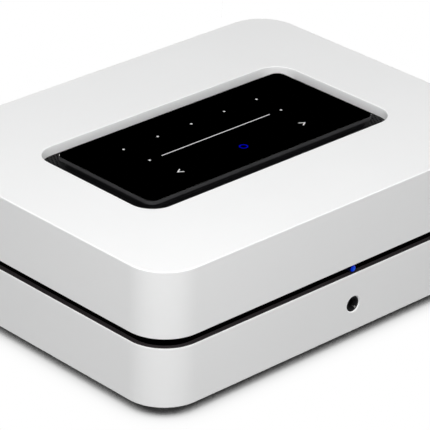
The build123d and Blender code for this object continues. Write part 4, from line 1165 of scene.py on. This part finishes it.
@dataclass
class Studio:
    """The pale floor, the soft light and the camera at the photograph's place."""

    camera_place: Triple = (-0.80414, -0.85676, 0.61566)
    camera_turn: Triple = (1.1045, -0.0163, -0.7507)
    lens: float = 248.16
    aim: Triple = (0.0, -0.01, 0.03)
    floor_reach: float = 12.0
    floor_glow: float = 1.0
    shade_reach: float = 12 * MM
    shade: Pairs = (
        (0.27, 0.025), (0.3, 0.045), (0.34, 0.17), (0.4, 0.475), (0.44, 0.595),
        (0.5, 0.69), (0.6, 0.815), (0.7, 0.925), (0.8, 0.975), (1.0, 1.0),
    )
    samples: int = 16
    floor_cast: float = 0.02
    dome: float = 0.73
    mirrored_dome: float = 0.4
    dark_way: Triple = (0.62, 0.66, 0.42)
    dark_from: float = 0.72
    dark_to: float = 0.88
    lights: tuple[SoftBox, ...] = (
        SoftBox("near_light", (-0.32, -0.36, 0.5), 0.3, 0.3, 1.75),
        SoftBox("key_light", (-1.25, -1.3, 1.2), 0.8, 0.8, 8.5),
        SoftBox("left_light", (-1.8, 0.3, 0.5), 0.9, 0.7, 3.6),
        SoftBox("front_light", (0.3, -1.8, 0.5), 0.9, 0.7, 2.6),
        SoftBox("back_light", (0.5, 1.1, 1.9), 0.7, 0.7, 3.0),
        SoftBox("right_fill", (1.8, 0.0, 0.08), 0.9, 0.14, 9.0, mirrored=True),
        SoftBox("rear_fill", (0.0, 1.9, 0.08), 0.9, 0.14, 9.0, mirrored=True),
    )

    def camera(self) -> None:
        """Place the camera."""
        data = bpy.data.cameras.new("camera")
        data.lens = self.lens
        camera = in_scene("camera", data)
        camera.location = self.camera_place
        camera.rotation_euler = self.camera_turn
        bpy.context.scene.camera = camera

    def sky(self) -> None:
        """Show white behind everything, light it all round, and leave dark what the glass mirrors."""
        world = bpy.data.worlds.new("studio")
        world.use_nodes = True
        bpy.context.scene.world = world
        wiring = Wiring(world.node_tree)
        world.node_tree.nodes.clear()
        seen = wiring.add("ShaderNodeBackground", {"Color": (1.0, 1.0, 1.0, 1.0), "Strength": 1.0})
        way = wiring.add("ShaderNodeTexCoord")
        facing = wiring.vector("DOT_PRODUCT", way, self.dark_way)
        cap = wiring.ramp(facing, (self.dark_from, (1.0, 1.0, 1.0)), (self.dark_to, (0.0, 0.0, 0.0)))
        path = wiring.add("ShaderNodeLightPath")
        strength = wiring.spread(path.outputs["Is Glossy Ray"], self.dome, self.mirrored_dome)
        cast = wiring.add("ShaderNodeBackground", {"Color": cap, "Strength": strength})
        mixed = wiring.add("ShaderNodeMixShader", {0: path.outputs["Is Camera Ray"], 1: cast, 2: seen})
        wiring.add("ShaderNodeOutputWorld", {"Surface": mixed})

    def floor(self) -> None:
        """Lay a white floor with a painted contact shadow: a soft dark line where the case stands close to
        it.
        """
        reach = self.floor_reach
        mesh = bpy.data.meshes.new("floor")
        corners = [(-reach, -reach, 0), (reach, -reach, 0), (reach, reach, 0), (-reach, reach, 0)]
        mesh.from_pydata(corners, [], [(0, 1, 2, 3)])
        material = bpy.data.materials.new("floor")
        material.use_nodes = True
        wiring = Wiring(material.node_tree)
        material.node_tree.nodes.clear()
        # Painted shadow: ambient occlusion darkens the floor's glow near the case through the shade ramp.
        near = wiring.add("ShaderNodeAmbientOcclusion", {"Distance": self.shade_reach}, samples=self.samples)
        stops = [(place, (level, level, level)) for place, level in self.shade]
        shade = wiring.ramp(near.outputs["AO"], *stops)
        seen = wiring.add("ShaderNodeLightPath").outputs["Is Camera Ray"]
        level = wiring.spread(seen, self.floor_cast, self.floor_glow)
        glow = wiring.add("ShaderNodeEmission", {"Color": shade, "Strength": level})
        wiring.add("ShaderNodeOutputMaterial", {"Surface": glow})
        mesh.materials.append(material)
        in_scene("floor", mesh)

    def build(self) -> None:
        """Set up the camera, the floor and the lights."""
        bpy.context.scene.view_settings.view_transform = "Standard"
        self.camera()
        self.sky()
        self.floor()
        for light in self.lights:
            light.build(Vector(self.aim))


PARTS = (Case, PerforatedPlate, TouchPanel, FrontFittings, RearSockets, SpeakerTerminals, Electronics)


def main() -> None:
    """Build the scene."""
    logging.basicConfig(level=logging.INFO, format="%(name)s: %(message)s")
    Studio().build()
    for part in PARTS:
        part().build()


if __name__ == "__main__":
    main()
